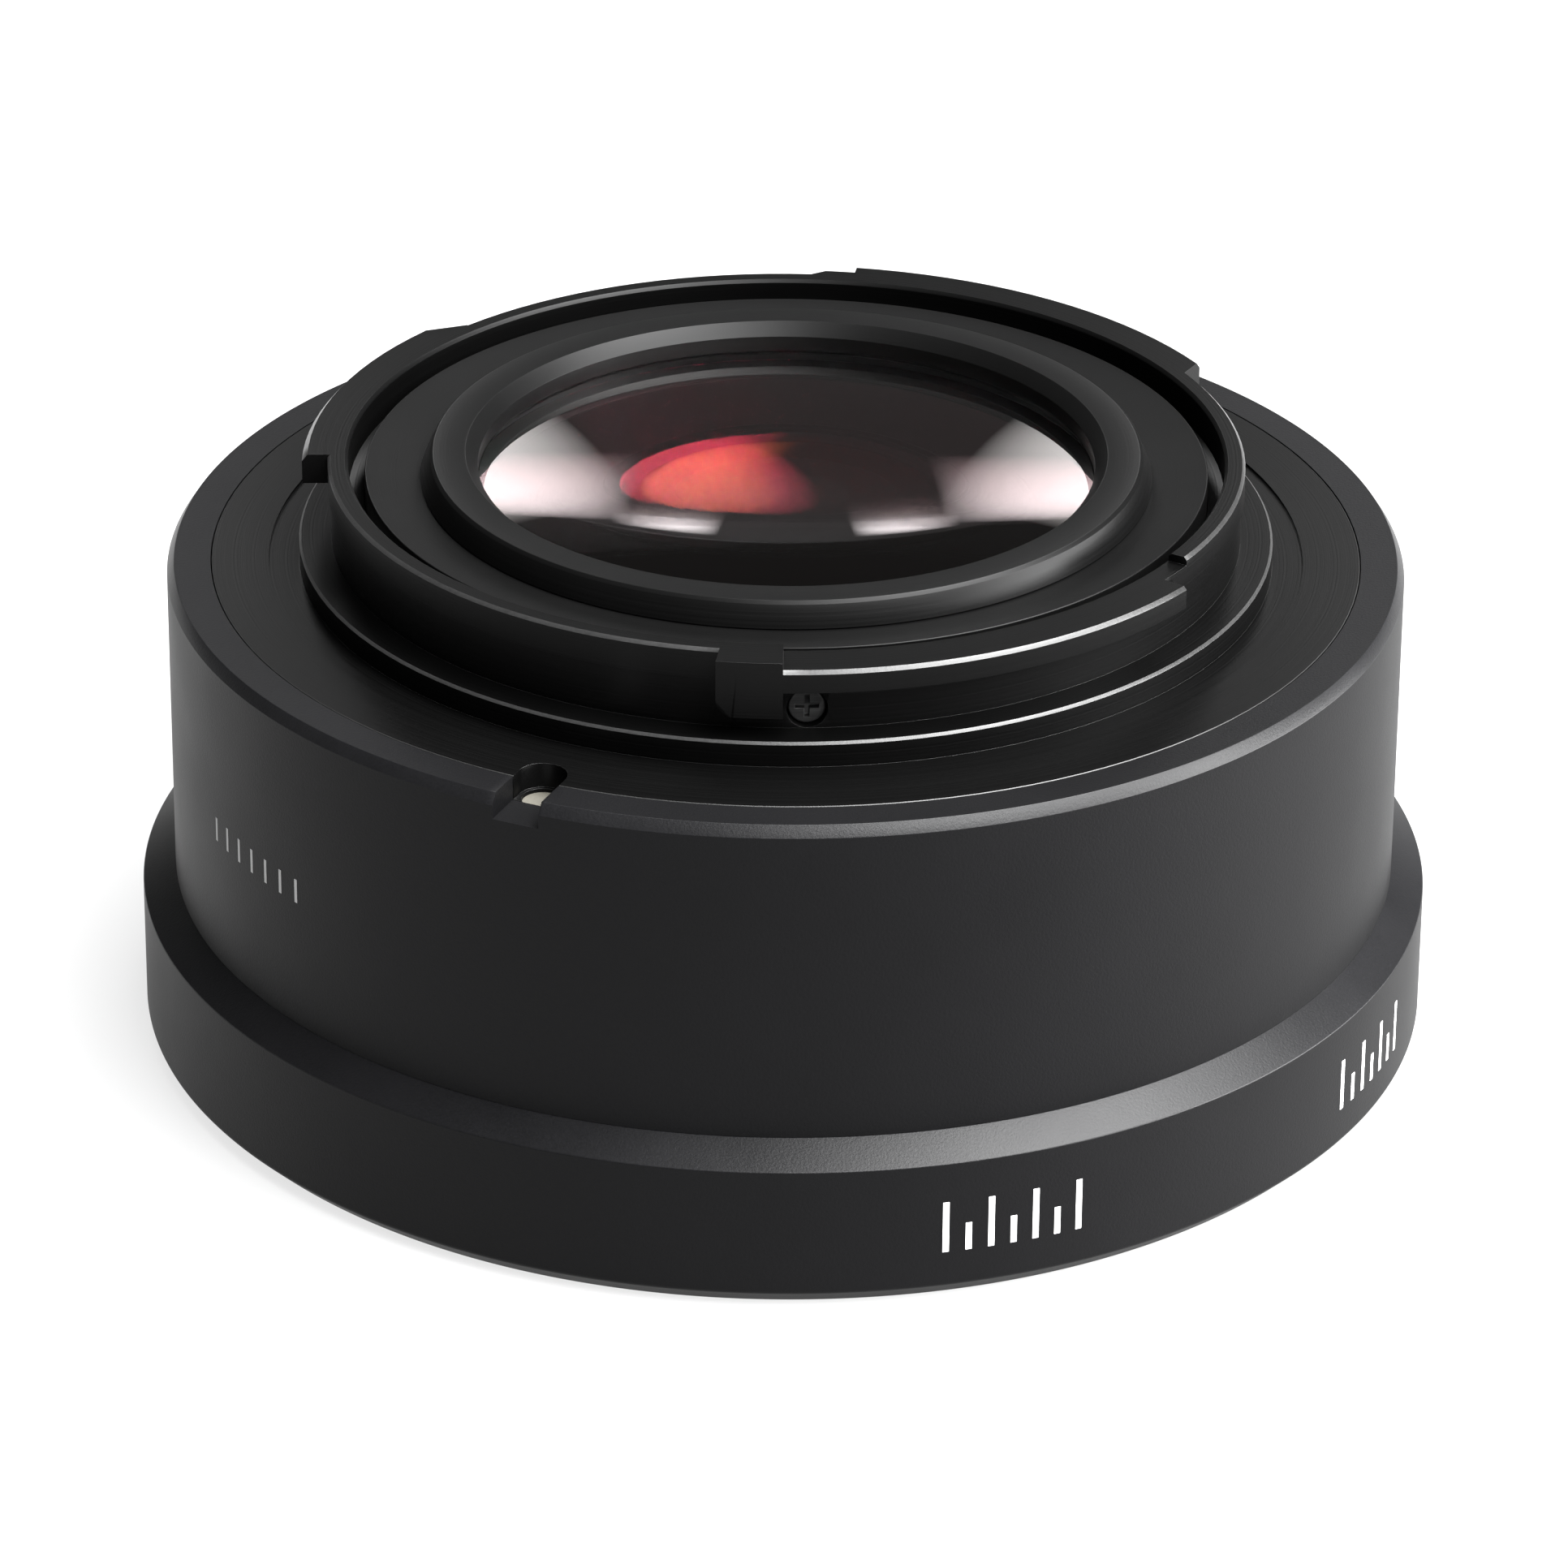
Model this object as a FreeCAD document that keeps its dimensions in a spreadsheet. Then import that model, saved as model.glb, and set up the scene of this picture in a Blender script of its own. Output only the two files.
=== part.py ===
import FreeCAD, Part
import os
import re
import Sketcher

# Focal reducer, camera side up: a turned barrel on a wider lens-side ring, with a three-lug
# male bayonet and the optical cell on top and a three-lug female bayonet underneath.
# Origin: centre of the lens-side rim that it stands on. +Z points to the camera.
# Lengths are millimetres and angles are degrees about +Z, counted from +X.

SIZES = [
    # Camera bayonet, from the collar that all radii are counted from
    ("collar_radius", 21.8, "collar between flange and lugs, the standard size to start from"),
    ("collar_wall", 1.6, "collar outside to the bore that the optical barrel screws into"),
    ("collar_height", 5.0, "top of the collar above the flange face"),
    ("collar_edge", 0.15, "broken edges at the collar's top"),
    ("bore_step_width", 0.75, "wider bore at the collar's top, measured across"),
    ("bore_step_depth", 1.7, "depth of that wider bore, a dark groove round the optical barrel"),
    ("bore_cone_depth", 0.3, "height of the cone below it"),
    ("band_proud", 0.12, "band at lug height that stands out from the collar"),
    ("step_width", 1.55, "locating step round the collar, measured across"),
    ("step_height", 1.1, "height of the step above the flange face"),
    ("step_edge", 0.12, "broken edge of the step"),
    ("relief_width", 1.47, "shallow relief round the step"),
    ("relief_depth", 0.12, "depth of the relief"),
    ("flange_width", 2.73, "flange face of the bayonet ring outside the relief"),
    ("flange_thickness", 2.0, "thickness of the bayonet ring's flange"),
    ("seam_edge", 0.03, "broken edge along the seam in the flange face"),
    ("lug_width", 1.35, "how far the lugs stand out of the collar"),
    ("lug_bottom", 3.5, "lock face of the lugs above the flange face"),
    ("lug_thickness", 1.1, "thickness of the front lug, which the cut-down leaves thinner"),
    ("lug_edge_width", 0.28, "chamfer round the top of the full-height lugs, measured across"),
    ("lug_edge_height", 0.34, "the same chamfer, measured along the axis"),
    ("front_lug_start", -90.2, "front lug, in the cut-down part of the collar"),
    ("front_lug_span", 53.5, "arc of the front lug"),
    ("right_lug_start", 29.0, "full-height lug at the back right"),
    ("right_lug_span", 52.3, "arc of that lug"),
    ("left_lug_start", 141.5, "full-height lug at the back left"),
    ("left_lug_span", 40.2, "arc of that lug"),
    ("right_end_span", 3.0, "arc within which that lug's front end slants back to the collar"),
    ("right_end_facing", -29.65, "direction that the slanted end faces"),
    ("right_lead_width", 0.45, "low lead-in at the end of the back right lug"),
    ("right_lead_span", 5.5, "arc of that lead-in"),
    ("right_lead_flat", 3.8, "arc of it before it runs down to the collar"),
    ("right_lead_facing", 120.0, "direction that its run-out faces"),
    ("left_lead_width", 1.1, "lead-in at the end of the back left lug, where it starts"),
    ("left_lead_span", 4.9, "arc over which it runs down to the collar"),
    ("left_lead_facing", 109.7, "direction that its run-out faces"),
    ("cut_span", 58.5, "stretch of collar cut down for the camera's contacts"),
    ("stop_span", 7.6, "stop block beside the cut-down stretch"),
    ("stop_bottom", 2.2, "foot of the stop block above the flange face"),
    ("stop_corner", 0.85, "milled corner at the foot of the stop block"),
    # Slot for the camera's locking pin
    ("notch_azimuth", -114.05, "direction of the slot"),
    ("notch_width", 2.3, "width of the slot"),
    ("notch_length", 4.0, "from the barrel's outside to the slot's round inner end"),
    ("notch_depth", 1.2, "depth of the slot"),
    ("well_radius", 0.97, "round well for the pin in the slot's inner end"),
    ("well_depth", 1.3, "depth of the well below the slot's floor"),
    # Barrel and lens-side ring
    ("flange_height", 24.0, "camera flange face above the rim that the part stands on"),
    ("rim_width", 2.15, "barrel's rim round the bayonet ring"),
    ("rim_edge_width", 0.35, "bright chamfer of the rim, measured across"),
    ("rim_edge_height", 0.53, "the same chamfer, measured along the axis"),
    ("ring_step", 1.6, "how far the lens-side ring stands out of the barrel"),
    ("ring_cover", 0.15, "ring above the pocket of the release"),
    ("bevel_height", 0.95, "bevel on the ring's camera side"),
    ("foot_edge_width", 0.9, "chamfer at the ring's foot, measured across"),
    ("foot_edge_height", 0.86, "the same chamfer, measured along the axis"),
    ("spigot_step", 1.7, "barrel outside to the spigot that enters the ring"),
    ("spigot_wall", 4.0, "wall of that spigot"),
    ("cut_reach", 1.0, "how far a cutter runs past what it cuts"),
    ("fit_gap", 0.05, "radial clearance of parts that screw or slide together"),
    ("seat_gap", 0.05, "axial clearance where a glass or spacer seats"),
    ("tail_height", 2.15, "bore for the lens's tail above the ring's top"),
    ("groove_pitch", 0.9, "pitch of the light-trapping grooves in that bore"),
    ("groove_depth", 0.3, "depth of those grooves"),
    ("lip_width", 0.8, "shoulder that stops the inner baffle"),
    ("lip_height", 1.0, "thickness of that shoulder"),
    ("barrel_wall", 3.7, "wall of the barrel above that shoulder"),
    ("deck_thickness", 2.5, "inner deck that carries the camera bayonet"),
    ("deck_clearance", 0.7, "deck clear of the optical barrel's thread"),
    # Radial screw that locks the optical barrel
    ("lock_screw_azimuth", -87.3, "direction of the screw"),
    ("lock_screw_height", 2.07, "its axis above the flange face"),
    ("lock_head_radius", 0.86, "head of the screw"),
    ("lock_head_height", 0.6, "thickness of the head"),
    ("lock_head_sink", 0.3, "how far the head lies inside the collar"),
    ("lock_head_gap", 0.09, "clearance round the head"),
    ("lock_shank_radius", 0.5, "shank of the screw"),
    # Rear cell and optical barrel
    ("cell_height", 5.2, "top of the rear cell above the flange face"),
    ("dish_width", 2.7, "dished face between the rear cell and the collar's bore"),
    ("dish_rise", 0.4, "rise of the dished face from the cell to its rim"),
    ("neck_height", 1.25, "neck of the rear cell above the dished face"),
    ("neck_taper", 0.45, "narrowing of the neck towards its top"),
    ("neck_edge", 0.15, "broken outer edge of the neck"),
    ("cell_face_width", 2.3, "neck's top, from its outside to the clear opening"),
    ("cell_thread_step", 0.3, "foot of the neck to the threaded part of the cell"),
    ("cell_tail", 0.35, "thread left below the rear retaining ring"),
    ("window_bevel_width", 0.6, "bevel round the clear opening, measured across"),
    ("window_bevel_height", 0.6, "the same bevel, measured along the axis"),
    ("window_depth", 1.35, "depth of the opening's lip"),
    ("glass_overlap", 0.45, "rear glass behind that lip"),
    ("slim_step", 1.55, "thread to the slimmer part of the optical barrel"),
    ("thread_length", 7.7, "length of the optical barrel's thread"),
    ("light_stop_width", 0.6, "light stop between the rear glasses"),
    ("middle_wall", 3.1, "optical barrel round the third and second glass"),
    ("front_wall", 1.6, "optical barrel round the front glass"),
    ("nose_length", 0.75, "optical barrel beyond the front retaining ring"),
    ("nose_edge", 0.5, "chamfer at the optical barrel's front end"),
    # Glasses: a bend is the radius of a surface counted in radii of its glass
    ("rear_glass_thickness", 4.4, "thickness on the axis"),
    ("rear_glass_bend", 5.92, "its camera-side surface"),
    ("rear_glass_sink", 0.2, "how far its crown lies below the cell's top"),
    ("rear_ring_width", 1.0, "rear retaining ring, measured across"),
    ("rear_ring_height", 1.2, "rear retaining ring, along the axis"),
    ("rear_air", 2.2, "air space between the two rear glasses"),
    ("third_glass_thickness", 5.2, "thickness on the axis"),
    ("third_glass_bend", 2.9, "its camera-side surface"),
    ("third_front_bend", 7.7, "its lens-side surface"),
    ("spacer_width", 1.15, "both spacers, measured across"),
    ("middle_air", 2.4, "air space between third and second glass"),
    ("second_glass_thickness", 1.6, "thickness on the axis"),
    ("second_glass_bend", 4.5, "its hollow camera-side surface"),
    ("front_air", 0.85, "air space between second and front glass"),
    ("front_glass_edge", 1.2, "edge thickness of the front glass"),
    ("front_glass_bend", 3.8, "its lens-side surface"),
    ("front_ring_width", 1.15, "front retaining ring, measured across"),
    ("front_ring_height", 1.4, "front retaining ring, along the axis"),
    ("spanner_width", 1.2, "spanner slots in both retaining rings"),
    ("spanner_depth", 0.5, "depth of those slots"),
    ("baffle_thickness", 0.8, "inner baffle between barrel and optical barrel"),
    ("baffle_gap", 0.1, "clearance round the optical barrel"),
    # Lens bayonet
    ("plate_recess", 1.2, "lens flange face above the rim"),
    ("rim_wall", 2.1, "ring outside to the lens bayonet plate"),
    ("plate_gap", 0.2, "clearance round the plate"),
    ("plate_thickness", 1.6, "lens bayonet plate"),
    ("plate_edge", 0.3, "chamfer on the plate's outer edge"),
    ("web_thickness", 1.4, "web of the ring behind the plate"),
    ("throat_inset", 0.3, "plate's throat inside the barrel's bore"),
    ("throat_lug_width", 1.65, "how far the plate's lugs stand into the throat"),
    ("throat_lug_thickness", 1.2, "lugs of the plate"),
    ("throat_lug_span", 54.0, "arc of a lug"),
    ("throat_azimuth", 20.0, "start of the first lug"),
    ("throat_lug_count", 3, "number of lugs"),
    ("leaf_span", 36.0, "arc of a leaf spring"),
    ("leaf_thickness", 0.2, "sheet of a leaf spring"),
    ("leaf_rise", 0.6, "height of its arch"),
    ("leaf_margin", 0.25, "how far it lies inside the lug's edges"),
    # Screws
    ("plate_screw_inset", 2.5, "plate screws outside the bore for the lens's tail"),
    ("plate_screw_azimuth", 14.0, "first plate screw"),
    ("plate_screw_count", 5, "number of plate screws"),
    ("plate_head_radius", 1.75, "countersunk head"),
    ("plate_shank_radius", 0.95, "plate screw shank"),
    ("plate_shank_length", 4.8, "plate screw below its countersunk head"),
    ("deck_screw_inset", 1.7, "bayonet screws inside the barrel's wall"),
    ("deck_screw_azimuth", 20.0, "first bayonet screw"),
    ("deck_screw_count", 4, "number of bayonet screws"),
    ("deck_head_radius", 1.4, "pan head"),
    ("deck_head_height", 1.0, "pan head"),
    ("deck_shank_radius", 0.8, "bayonet screw shank"),
    ("deck_thread_depth", 1.5, "bayonet screw beyond the deck"),
    ("screw_gap", 0.05, "clearance round heads and shanks"),
    ("cross_width", 0.4, "cross recess, one arm"),
    ("cross_length", 1.2, "cross recess, tip to tip"),
    ("cross_depth", 0.5, "depth of the cross recess"),
    ("small_cross_width", 0.22, "cross recess of the lock screw, one arm"),
    ("small_cross_length", 1.1, "the same recess, tip to tip"),
    # Lens lock and its release
    ("release_azimuth", 50.0, "direction of the release, at the hidden back"),
    ("release_travel", 1.3, "travel of the release towards the camera"),
    ("release_stop", 0.1, "clearance between the release and its stops"),
    ("knob_proud", 1.3, "how far the knob stands out of the ring"),
    ("knob_width", 6.6, "width of the knob"),
    ("knob_height", 2.4, "height of the knob"),
    ("knob_groove", 0.25, "finger grooves across the knob"),
    ("knob_groove_count", 3, "number of finger grooves"),
    ("knob_side_gap", 0.12, "clearance at the knob's sides"),
    ("slide_gap", 0.2, "clearance between the slide and the ring's wall"),
    ("slide_side", 0.9, "how far the slide reaches past the knob at each side"),
    ("slide_thickness", 0.45, "the slide, measured across"),
    ("slide_height", 2.2, "the slide, measured along the axis"),
    ("arm_thickness", 0.9, "arm that carries the pin"),
    ("arm_side", 1.0, "arm on each side of the pin"),
    ("pocket_height", 3.8, "pocket in the barrel above the web"),
    ("pocket_gap", 0.3, "clearance round slide and arm in the pocket"),
    ("pin_radius", 1.0, "locking pin"),
    ("pin_to_slide", 0.1, "clearance between the pin and the slide"),
    ("pin_reach", 1.0, "how far the pin stands out of the lens flange face"),
    ("pin_nose", 0.4, "chamfer at the pin's tip"),
    ("pin_gap", 0.08, "running clearance of the pin in the plate"),
    ("pin_stub_radius", 0.6, "upper end of the pin, inside the spring"),
    ("pin_stub_length", 1.2, "length of that end"),
    ("spring_radius", 0.82, "mean radius of the spring"),
    ("spring_wire", 0.12, "radius of the spring's wire"),
    ("spring_pitch", 0.6, "pitch of the spring"),
]
ALIASES = [alias for alias, size, note in SIZES]

# Radii, each counted from the collar by the widths above
COLLAR = "collar_radius"
THREAD = "(collar_radius - collar_wall)"
COLLAR_BORE = f"({THREAD} + bore_step_width)"
BAND = "(collar_radius + band_proud)"
LUG = "(collar_radius + lug_width)"
STEP = "(collar_radius + step_width)"
RELIEF = f"({STEP} + relief_width)"
BAYONET = f"({RELIEF} + flange_width)"
BARREL = f"({BAYONET} + rim_width)"
RING = f"({BARREL} + ring_step)"
SPIGOT = f"({BARREL} - spigot_step)"
RING_BORE = f"({SPIGOT} + fit_gap)"
TAIL = f"({SPIGOT} - spigot_wall)"
CHAMBER = f"({BARREL} - barrel_wall)"
DECK_HOLE = f"({THREAD} + deck_clearance)"
DECK_SCREWS = f"({CHAMBER} - deck_screw_inset)"
SLIM = f"({THREAD} - slim_step)"
NECK_FOOT = f"({THREAD} - dish_width)"
NECK_TOP = f"({NECK_FOOT} - neck_taper)"
CELL = f"({NECK_FOOT} - cell_thread_step)"
WINDOW = f"({NECK_TOP} - cell_face_width)"
REAR_GLASS = f"({WINDOW} + glass_overlap)"
LIGHT_STOP = f"({REAR_GLASS} - light_stop_width)"
MIDDLE_GLASS = f"({SLIM} - middle_wall)"
SPACER_BORE = f"({MIDDLE_GLASS} - spacer_width)"
REAR_RING_BORE = f"({REAR_GLASS} - rear_ring_width)"
FRONT_GLASS = f"({SLIM} - front_wall)"
FRONT_RING_BORE = f"({FRONT_GLASS} - front_ring_width)"
PLATE = f"({RING} - rim_wall)"
RECESS = f"({PLATE} + plate_gap)"
THROAT = f"({TAIL} - throat_inset)"
THROAT_LUG = f"({THROAT} - throat_lug_width)"
PLATE_SCREWS = f"({TAIL} + plate_screw_inset)"
SLIDE_FRONT = f"({RING_BORE} - slide_gap)"
SLIDE_BACK = f"({SLIDE_FRONT} - slide_thickness)"
PIN_CIRCLE = f"({SLIDE_BACK} - pin_to_slide - pin_radius)"
POCKET = f"({PIN_CIRCLE} - pin_radius - pocket_gap - pin_to_slide)"
KNOB_BACK = f"({SPIGOT} + slide_gap)"
KNOB_FACE = f"({RING} + knob_proud)"
NOTCH_CENTRE = f"({BARREL} - notch_length + notch_width / 2)"
SLIDE_WIDTH = "(knob_width + 2 * slide_side)"

# Radii of the glasses' surfaces, from their bends
REAR_CURVE = f"(rear_glass_bend * {REAR_GLASS})"
THIRD_CURVE = f"(third_glass_bend * {MIDDLE_GLASS})"
THIRD_FRONT_CURVE = f"(third_front_bend * {MIDDLE_GLASS})"
SECOND_CURVE = f"(second_glass_bend * {MIDDLE_GLASS})"
FRONT_CURVE = f"(front_glass_bend * {FRONT_GLASS})"

# Heights above the rim
CAMERA_FACE = "flange_height"
FLANGE_BACK = f"({CAMERA_FACE} - flange_thickness)"
DECK_BACK = f"({FLANGE_BACK} - deck_thickness)"
COLLAR_TOP = f"({CAMERA_FACE} + collar_height)"
LUG_BOTTOM = f"({CAMERA_FACE} + lug_bottom)"
LUG_TOP = f"({LUG_BOTTOM} + lug_thickness)"
STOP_BOTTOM = f"({CAMERA_FACE} + stop_bottom)"
BORE_STEP = f"({COLLAR_TOP} - bore_step_depth)"
THREAD_TOP = f"({BORE_STEP} - bore_cone_depth)"
LOCK_AXIS = f"({CAMERA_FACE} + lock_screw_height)"
PLATE_FACE = "plate_recess"
PLATE_BACK = f"({PLATE_FACE} + plate_thickness)"
THROAT_LUG_BACK = f"({PLATE_FACE} + throat_lug_thickness)"
KNOB_BOTTOM = PLATE_BACK
WEB_TOP = f"({PLATE_BACK} + web_thickness)"
PLATE_HEAD_END = f"({PLATE_FACE} + plate_head_radius - plate_shank_radius)"
PLATE_SCREW_END = f"({PLATE_HEAD_END} + plate_shank_length)"
POCKET_TOP = f"({WEB_TOP} + pocket_height)"
RING_TOP = f"({POCKET_TOP} + ring_cover)"
LIP_BOTTOM = f"({RING_TOP} + tail_height)"
LIP_TOP = f"({LIP_BOTTOM} + lip_height)"


def sagitta(curve, radius):
    """Depth of a spherical surface of radius curve at a distance from its axis."""
    return f"({curve} - sqrt({curve}^2 - ({radius})^2))"


# The optical stack hangs from the camera flange, counted down from the camera side
CELL_TOP = f"({CAMERA_FACE} + cell_height)"
DISH = f"({CELL_TOP} - neck_height)"
WINDOW_LIP = f"({CELL_TOP} - window_depth)"
REAR_CROWN = f"({CELL_TOP} - rear_glass_sink)"
REAR_BACK = f"({REAR_CROWN} - rear_glass_thickness)"
REAR_RING_TOP = f"({REAR_BACK} - seat_gap)"
REAR_RING_BOTTOM = f"({REAR_RING_TOP} - rear_ring_height)"
CELL_BOTTOM = f"({REAR_RING_BOTTOM} - cell_tail)"
CELL_SEAT = f"({CELL_BOTTOM} - seat_gap)"
THIRD_CROWN = f"({REAR_BACK} - rear_air)"
STOP_SEAT = f"({THIRD_CROWN} - {sagitta(THIRD_CURVE, LIGHT_STOP)} + seat_gap)"
THIRD_FRONT = f"({THIRD_CROWN} - third_glass_thickness)"
MIDDLE_TOP = f"({THIRD_FRONT} + {sagitta(THIRD_FRONT_CURVE, SPACER_BORE)} - seat_gap)"
SECOND_HOLLOW = f"({THIRD_FRONT} - middle_air)"
SECOND_EDGE = f"({SECOND_HOLLOW} + {sagitta(SECOND_CURVE, MIDDLE_GLASS)})"
MIDDLE_BOTTOM = f"({SECOND_EDGE} + seat_gap)"
SECOND_FRONT = f"({SECOND_HOLLOW} - second_glass_thickness)"
FRONT_BACK = f"({SECOND_FRONT} - front_air)"
FRONT_STEP = f"({FRONT_BACK} + seat_gap)"
FRONT_EDGE = f"({FRONT_BACK} - front_glass_edge)"
FRONT_CROWN = f"({FRONT_EDGE} - {sagitta(FRONT_CURVE, FRONT_GLASS)})"
FRONT_RING_TOP = (
    f"({FRONT_CROWN} + {sagitta(FRONT_CURVE, FRONT_RING_BORE)} - seat_gap)"
)
FRONT_RING_BOTTOM = f"({FRONT_RING_TOP} - front_ring_height)"
NOSE = f"({FRONT_RING_BOTTOM} - nose_length)"
THREAD_BOTTOM = f"({THREAD_TOP} - thread_length)"

document = FreeCAD.newDocument("focal_reducer")
sheet = document.addObject("Spreadsheet::Sheet", "dims")
NODES = []


def fill_sheet():
    """Write every size, its alias and its note into the sheet."""
    for row, (alias, size, note) in enumerate(SIZES, start=1):
        sheet.set(f"A{row}", alias)
        sheet.set(f"B{row}", str(size))
        sheet.set(f"C{row}", note)
        sheet.setAlias(f"B{row}", alias)
    document.recompute()


def linked(expression):
    """Point each size named in an expression at its cell."""
    def link(match):
        word = match.group(0)
        return f"dims.{word}" if word in ALIASES else word
    return re.sub(r"[A-Za-z_][A-Za-z_0-9]*", link, str(expression))


def size_of(expression):
    """Present value of an expression, as a plain number."""
    return float(sheet.evalExpression(linked(expression)))


def node(feature):
    """Count a finished object as a piece of the part, under its own name."""
    feature.Label = feature.Name
    NODES.append(feature)
    return feature


def place(feature, x="0", y="0", z="0", yaw="0", pitch="0"):
    """Bind an object's place and its turn: yaw about Z, then pitch about its own Y."""
    vector = f"create(<<vector>>; {linked(x)}; {linked(y)}; {linked(z)})"
    turn = f"create(<<rotation>>; {linked(yaw)}; {linked(pitch)}; 0)"
    feature.setExpression("Placement", f"create(<<placement>>; {vector}; {turn})")
    return feature


def polar(radius, azimuth):
    """X and Y of a point at a radius and an azimuth."""
    return f"(({radius}) * cos({azimuth} * 1deg))", f"(({radius}) * sin({azimuth} * 1deg))"


def origin_part(body, role):
    """One of a body's own origin planes or axes."""
    return next(part for part in body.Origin.OriginFeatures if part.Role == role)


def closed_sketch(body, name, plane, points, lift=None):
    """A closed outline on a plane of its body, every corner bound to the sheet."""
    sketch = body.newObject("Sketcher::SketchObject", name)
    sketch.AttachmentSupport = (origin_part(body, plane), [""])
    sketch.MapMode = "FlatFace"
    if lift is not None:
        sketch.setExpression("AttachmentOffset.Base.z", linked(lift))
    corners = [FreeCAD.Vector(size_of(x), size_of(y), 0) for x, y in points]
    count = len(corners)
    for index in range(count):
        edge = Part.LineSegment(corners[index], corners[(index + 1) % count])
        sketch.addGeometry(edge, False)
    for index in range(count):
        joined = Sketcher.Constraint("Coincident", index, 2, (index + 1) % count, 1)
        sketch.addConstraint(joined)
    for index, (x, y) in enumerate(points):
        for kind, expression, size in (
            ("DistanceX", x, corners[index].x),
            ("DistanceY", y, corners[index].y),
        ):
            if expression == "0":
                axis = -2 if kind == "DistanceX" else -1
                sketch.addConstraint(Sketcher.Constraint("PointOnObject", index, 1, axis))
                continue
            held = sketch.addConstraint(Sketcher.Constraint(kind, -1, 1, index, 1, size))
            sketch.setExpression(f"Constraints[{held}]", linked(expression))
    return sketch


def turned(name, outline, axis="V_Axis"):
    """A turned body: an outline of (radius, height), or (length, radius), spun once round."""
    body = document.addObject("PartDesign::Body", name)
    sketch = closed_sketch(body, f"{name}_outline", "XZ_Plane", outline)
    spin = body.newObject("PartDesign::Revolution", f"{name}_turned")
    spin.Profile = sketch
    spin.ReferenceAxis = (sketch, [axis])
    spin.Angle = 360
    body.Tip = spin
    document.recompute()
    return body


def own_axis(sketch, radius):
    """A construction line parallel to Z at a radius, as the axis of a hole or a screw."""
    reach = size_of(radius)
    line = Part.LineSegment(FreeCAD.Vector(reach, 0, 0), FreeCAD.Vector(reach, 1, 0))
    index = sketch.addGeometry(line, True)
    sketch.addConstraint(Sketcher.Constraint("Vertical", index))
    sketch.addConstraint(Sketcher.Constraint("PointOnObject", index, 1, -1))
    sketch.addConstraint(Sketcher.Constraint("DistanceY", index, 1, index, 2, 1.0))
    held = sketch.addConstraint(Sketcher.Constraint("DistanceX", -1, 1, index, 1, reach))
    sketch.setExpression(f"Constraints[{held}]", linked(radius))
    return (sketch, ["Axis0"])


def repeated(body, name, originals, count):
    """Repeat features of a body evenly about its axis."""
    pattern = body.newObject("PartDesign::PolarPattern", name)
    pattern.Originals = originals
    pattern.Axis = (origin_part(body, "Z_Axis"), [""])
    pattern.Angle = 360
    pattern.setExpression("Occurrences", linked(count))
    body.Tip = pattern
    document.recompute()
    return pattern


def drilled(body, name, outline, circle, count):
    """Cut a turned hole, given by its half outline, evenly round a circle."""
    before = body.Shape.Volume
    sketch = closed_sketch(body, f"{name}_outline", "XZ_Plane", outline)
    groove = body.newObject("PartDesign::Groove", f"{name}_first")
    groove.Profile = sketch
    groove.ReferenceAxis = own_axis(sketch, circle)
    groove.Angle = 360
    body.Tip = groove
    document.recompute()
    repeated(body, f"{name}_all", [groove], count)
    assert body.Shape.Volume < before, f"{name} cut nothing"
    return body


def disc(name, radius, bottom, height, start="0", span="360"):
    """A cylinder about the axis, or a wedge of one."""
    feature = document.addObject("Part::Cylinder", name)
    feature.setExpression("Radius", linked(radius))
    feature.setExpression("Height", linked(height))
    feature.setExpression("Angle", linked(span))
    return place(feature, z=bottom, yaw=start)


def rod(name, radius, height, x, y, bottom):
    """An upright cylinder anywhere."""
    feature = document.addObject("Part::Cylinder", name)
    feature.setExpression("Radius", linked(radius))
    feature.setExpression("Height", linked(height))
    return place(feature, x, y, bottom)


def block(name, start, length, width, bottom, height, azimuth):
    """A box that points outwards: from a radius, a length out, a width across."""
    feature = document.addObject("Part::Box", name)
    feature.setExpression("Length", linked(length))
    feature.setExpression("Width", linked(width))
    feature.setExpression("Height", linked(height))
    out_x, out_y = polar(start, azimuth)
    side_x, side_y = polar(f"({width}) / 2", f"({azimuth} - 90)")
    return place(feature, f"{out_x} + {side_x}", f"{out_y} + {side_y}", bottom, azimuth)


def ball(name, radius, centre):
    """A sphere on the axis."""
    feature = document.addObject("Part::Sphere", name)
    feature.setExpression("Radius", linked(radius))
    return place(feature, z=centre)


def fused(name, *pieces):
    """One solid out of several that touch."""
    feature = document.addObject("Part::MultiFuse", name)
    feature.Shapes = list(pieces)
    feature.Refine = True
    document.recompute()
    return feature


def cut(name, piece, *tools):
    """A piece less one tool or several."""
    feature = document.addObject("Part::Cut", name)
    feature.Base = piece
    feature.Tool = tools[0] if len(tools) == 1 else fused(f"{name}_tools", *tools)
    feature.Refine = True
    document.recompute()
    assert feature.Shape.Volume < piece.Shape.Volume, f"{name} cut nothing"
    return feature


def overlap(name, *pieces):
    """What several pieces have in common."""
    feature = document.addObject("Part::MultiCommon", name)
    feature.Shapes = list(pieces)
    document.recompute()
    return feature


def sector(name, inner, outer, bottom, height, start, span):
    """Part of a flat ring between two radii and over an arc."""
    whole = disc(f"{name}_outer", outer, bottom, height, start, span)
    core = disc(f"{name}_inner", inner, bottom, height)
    return cut(name, whole, core)


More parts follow.
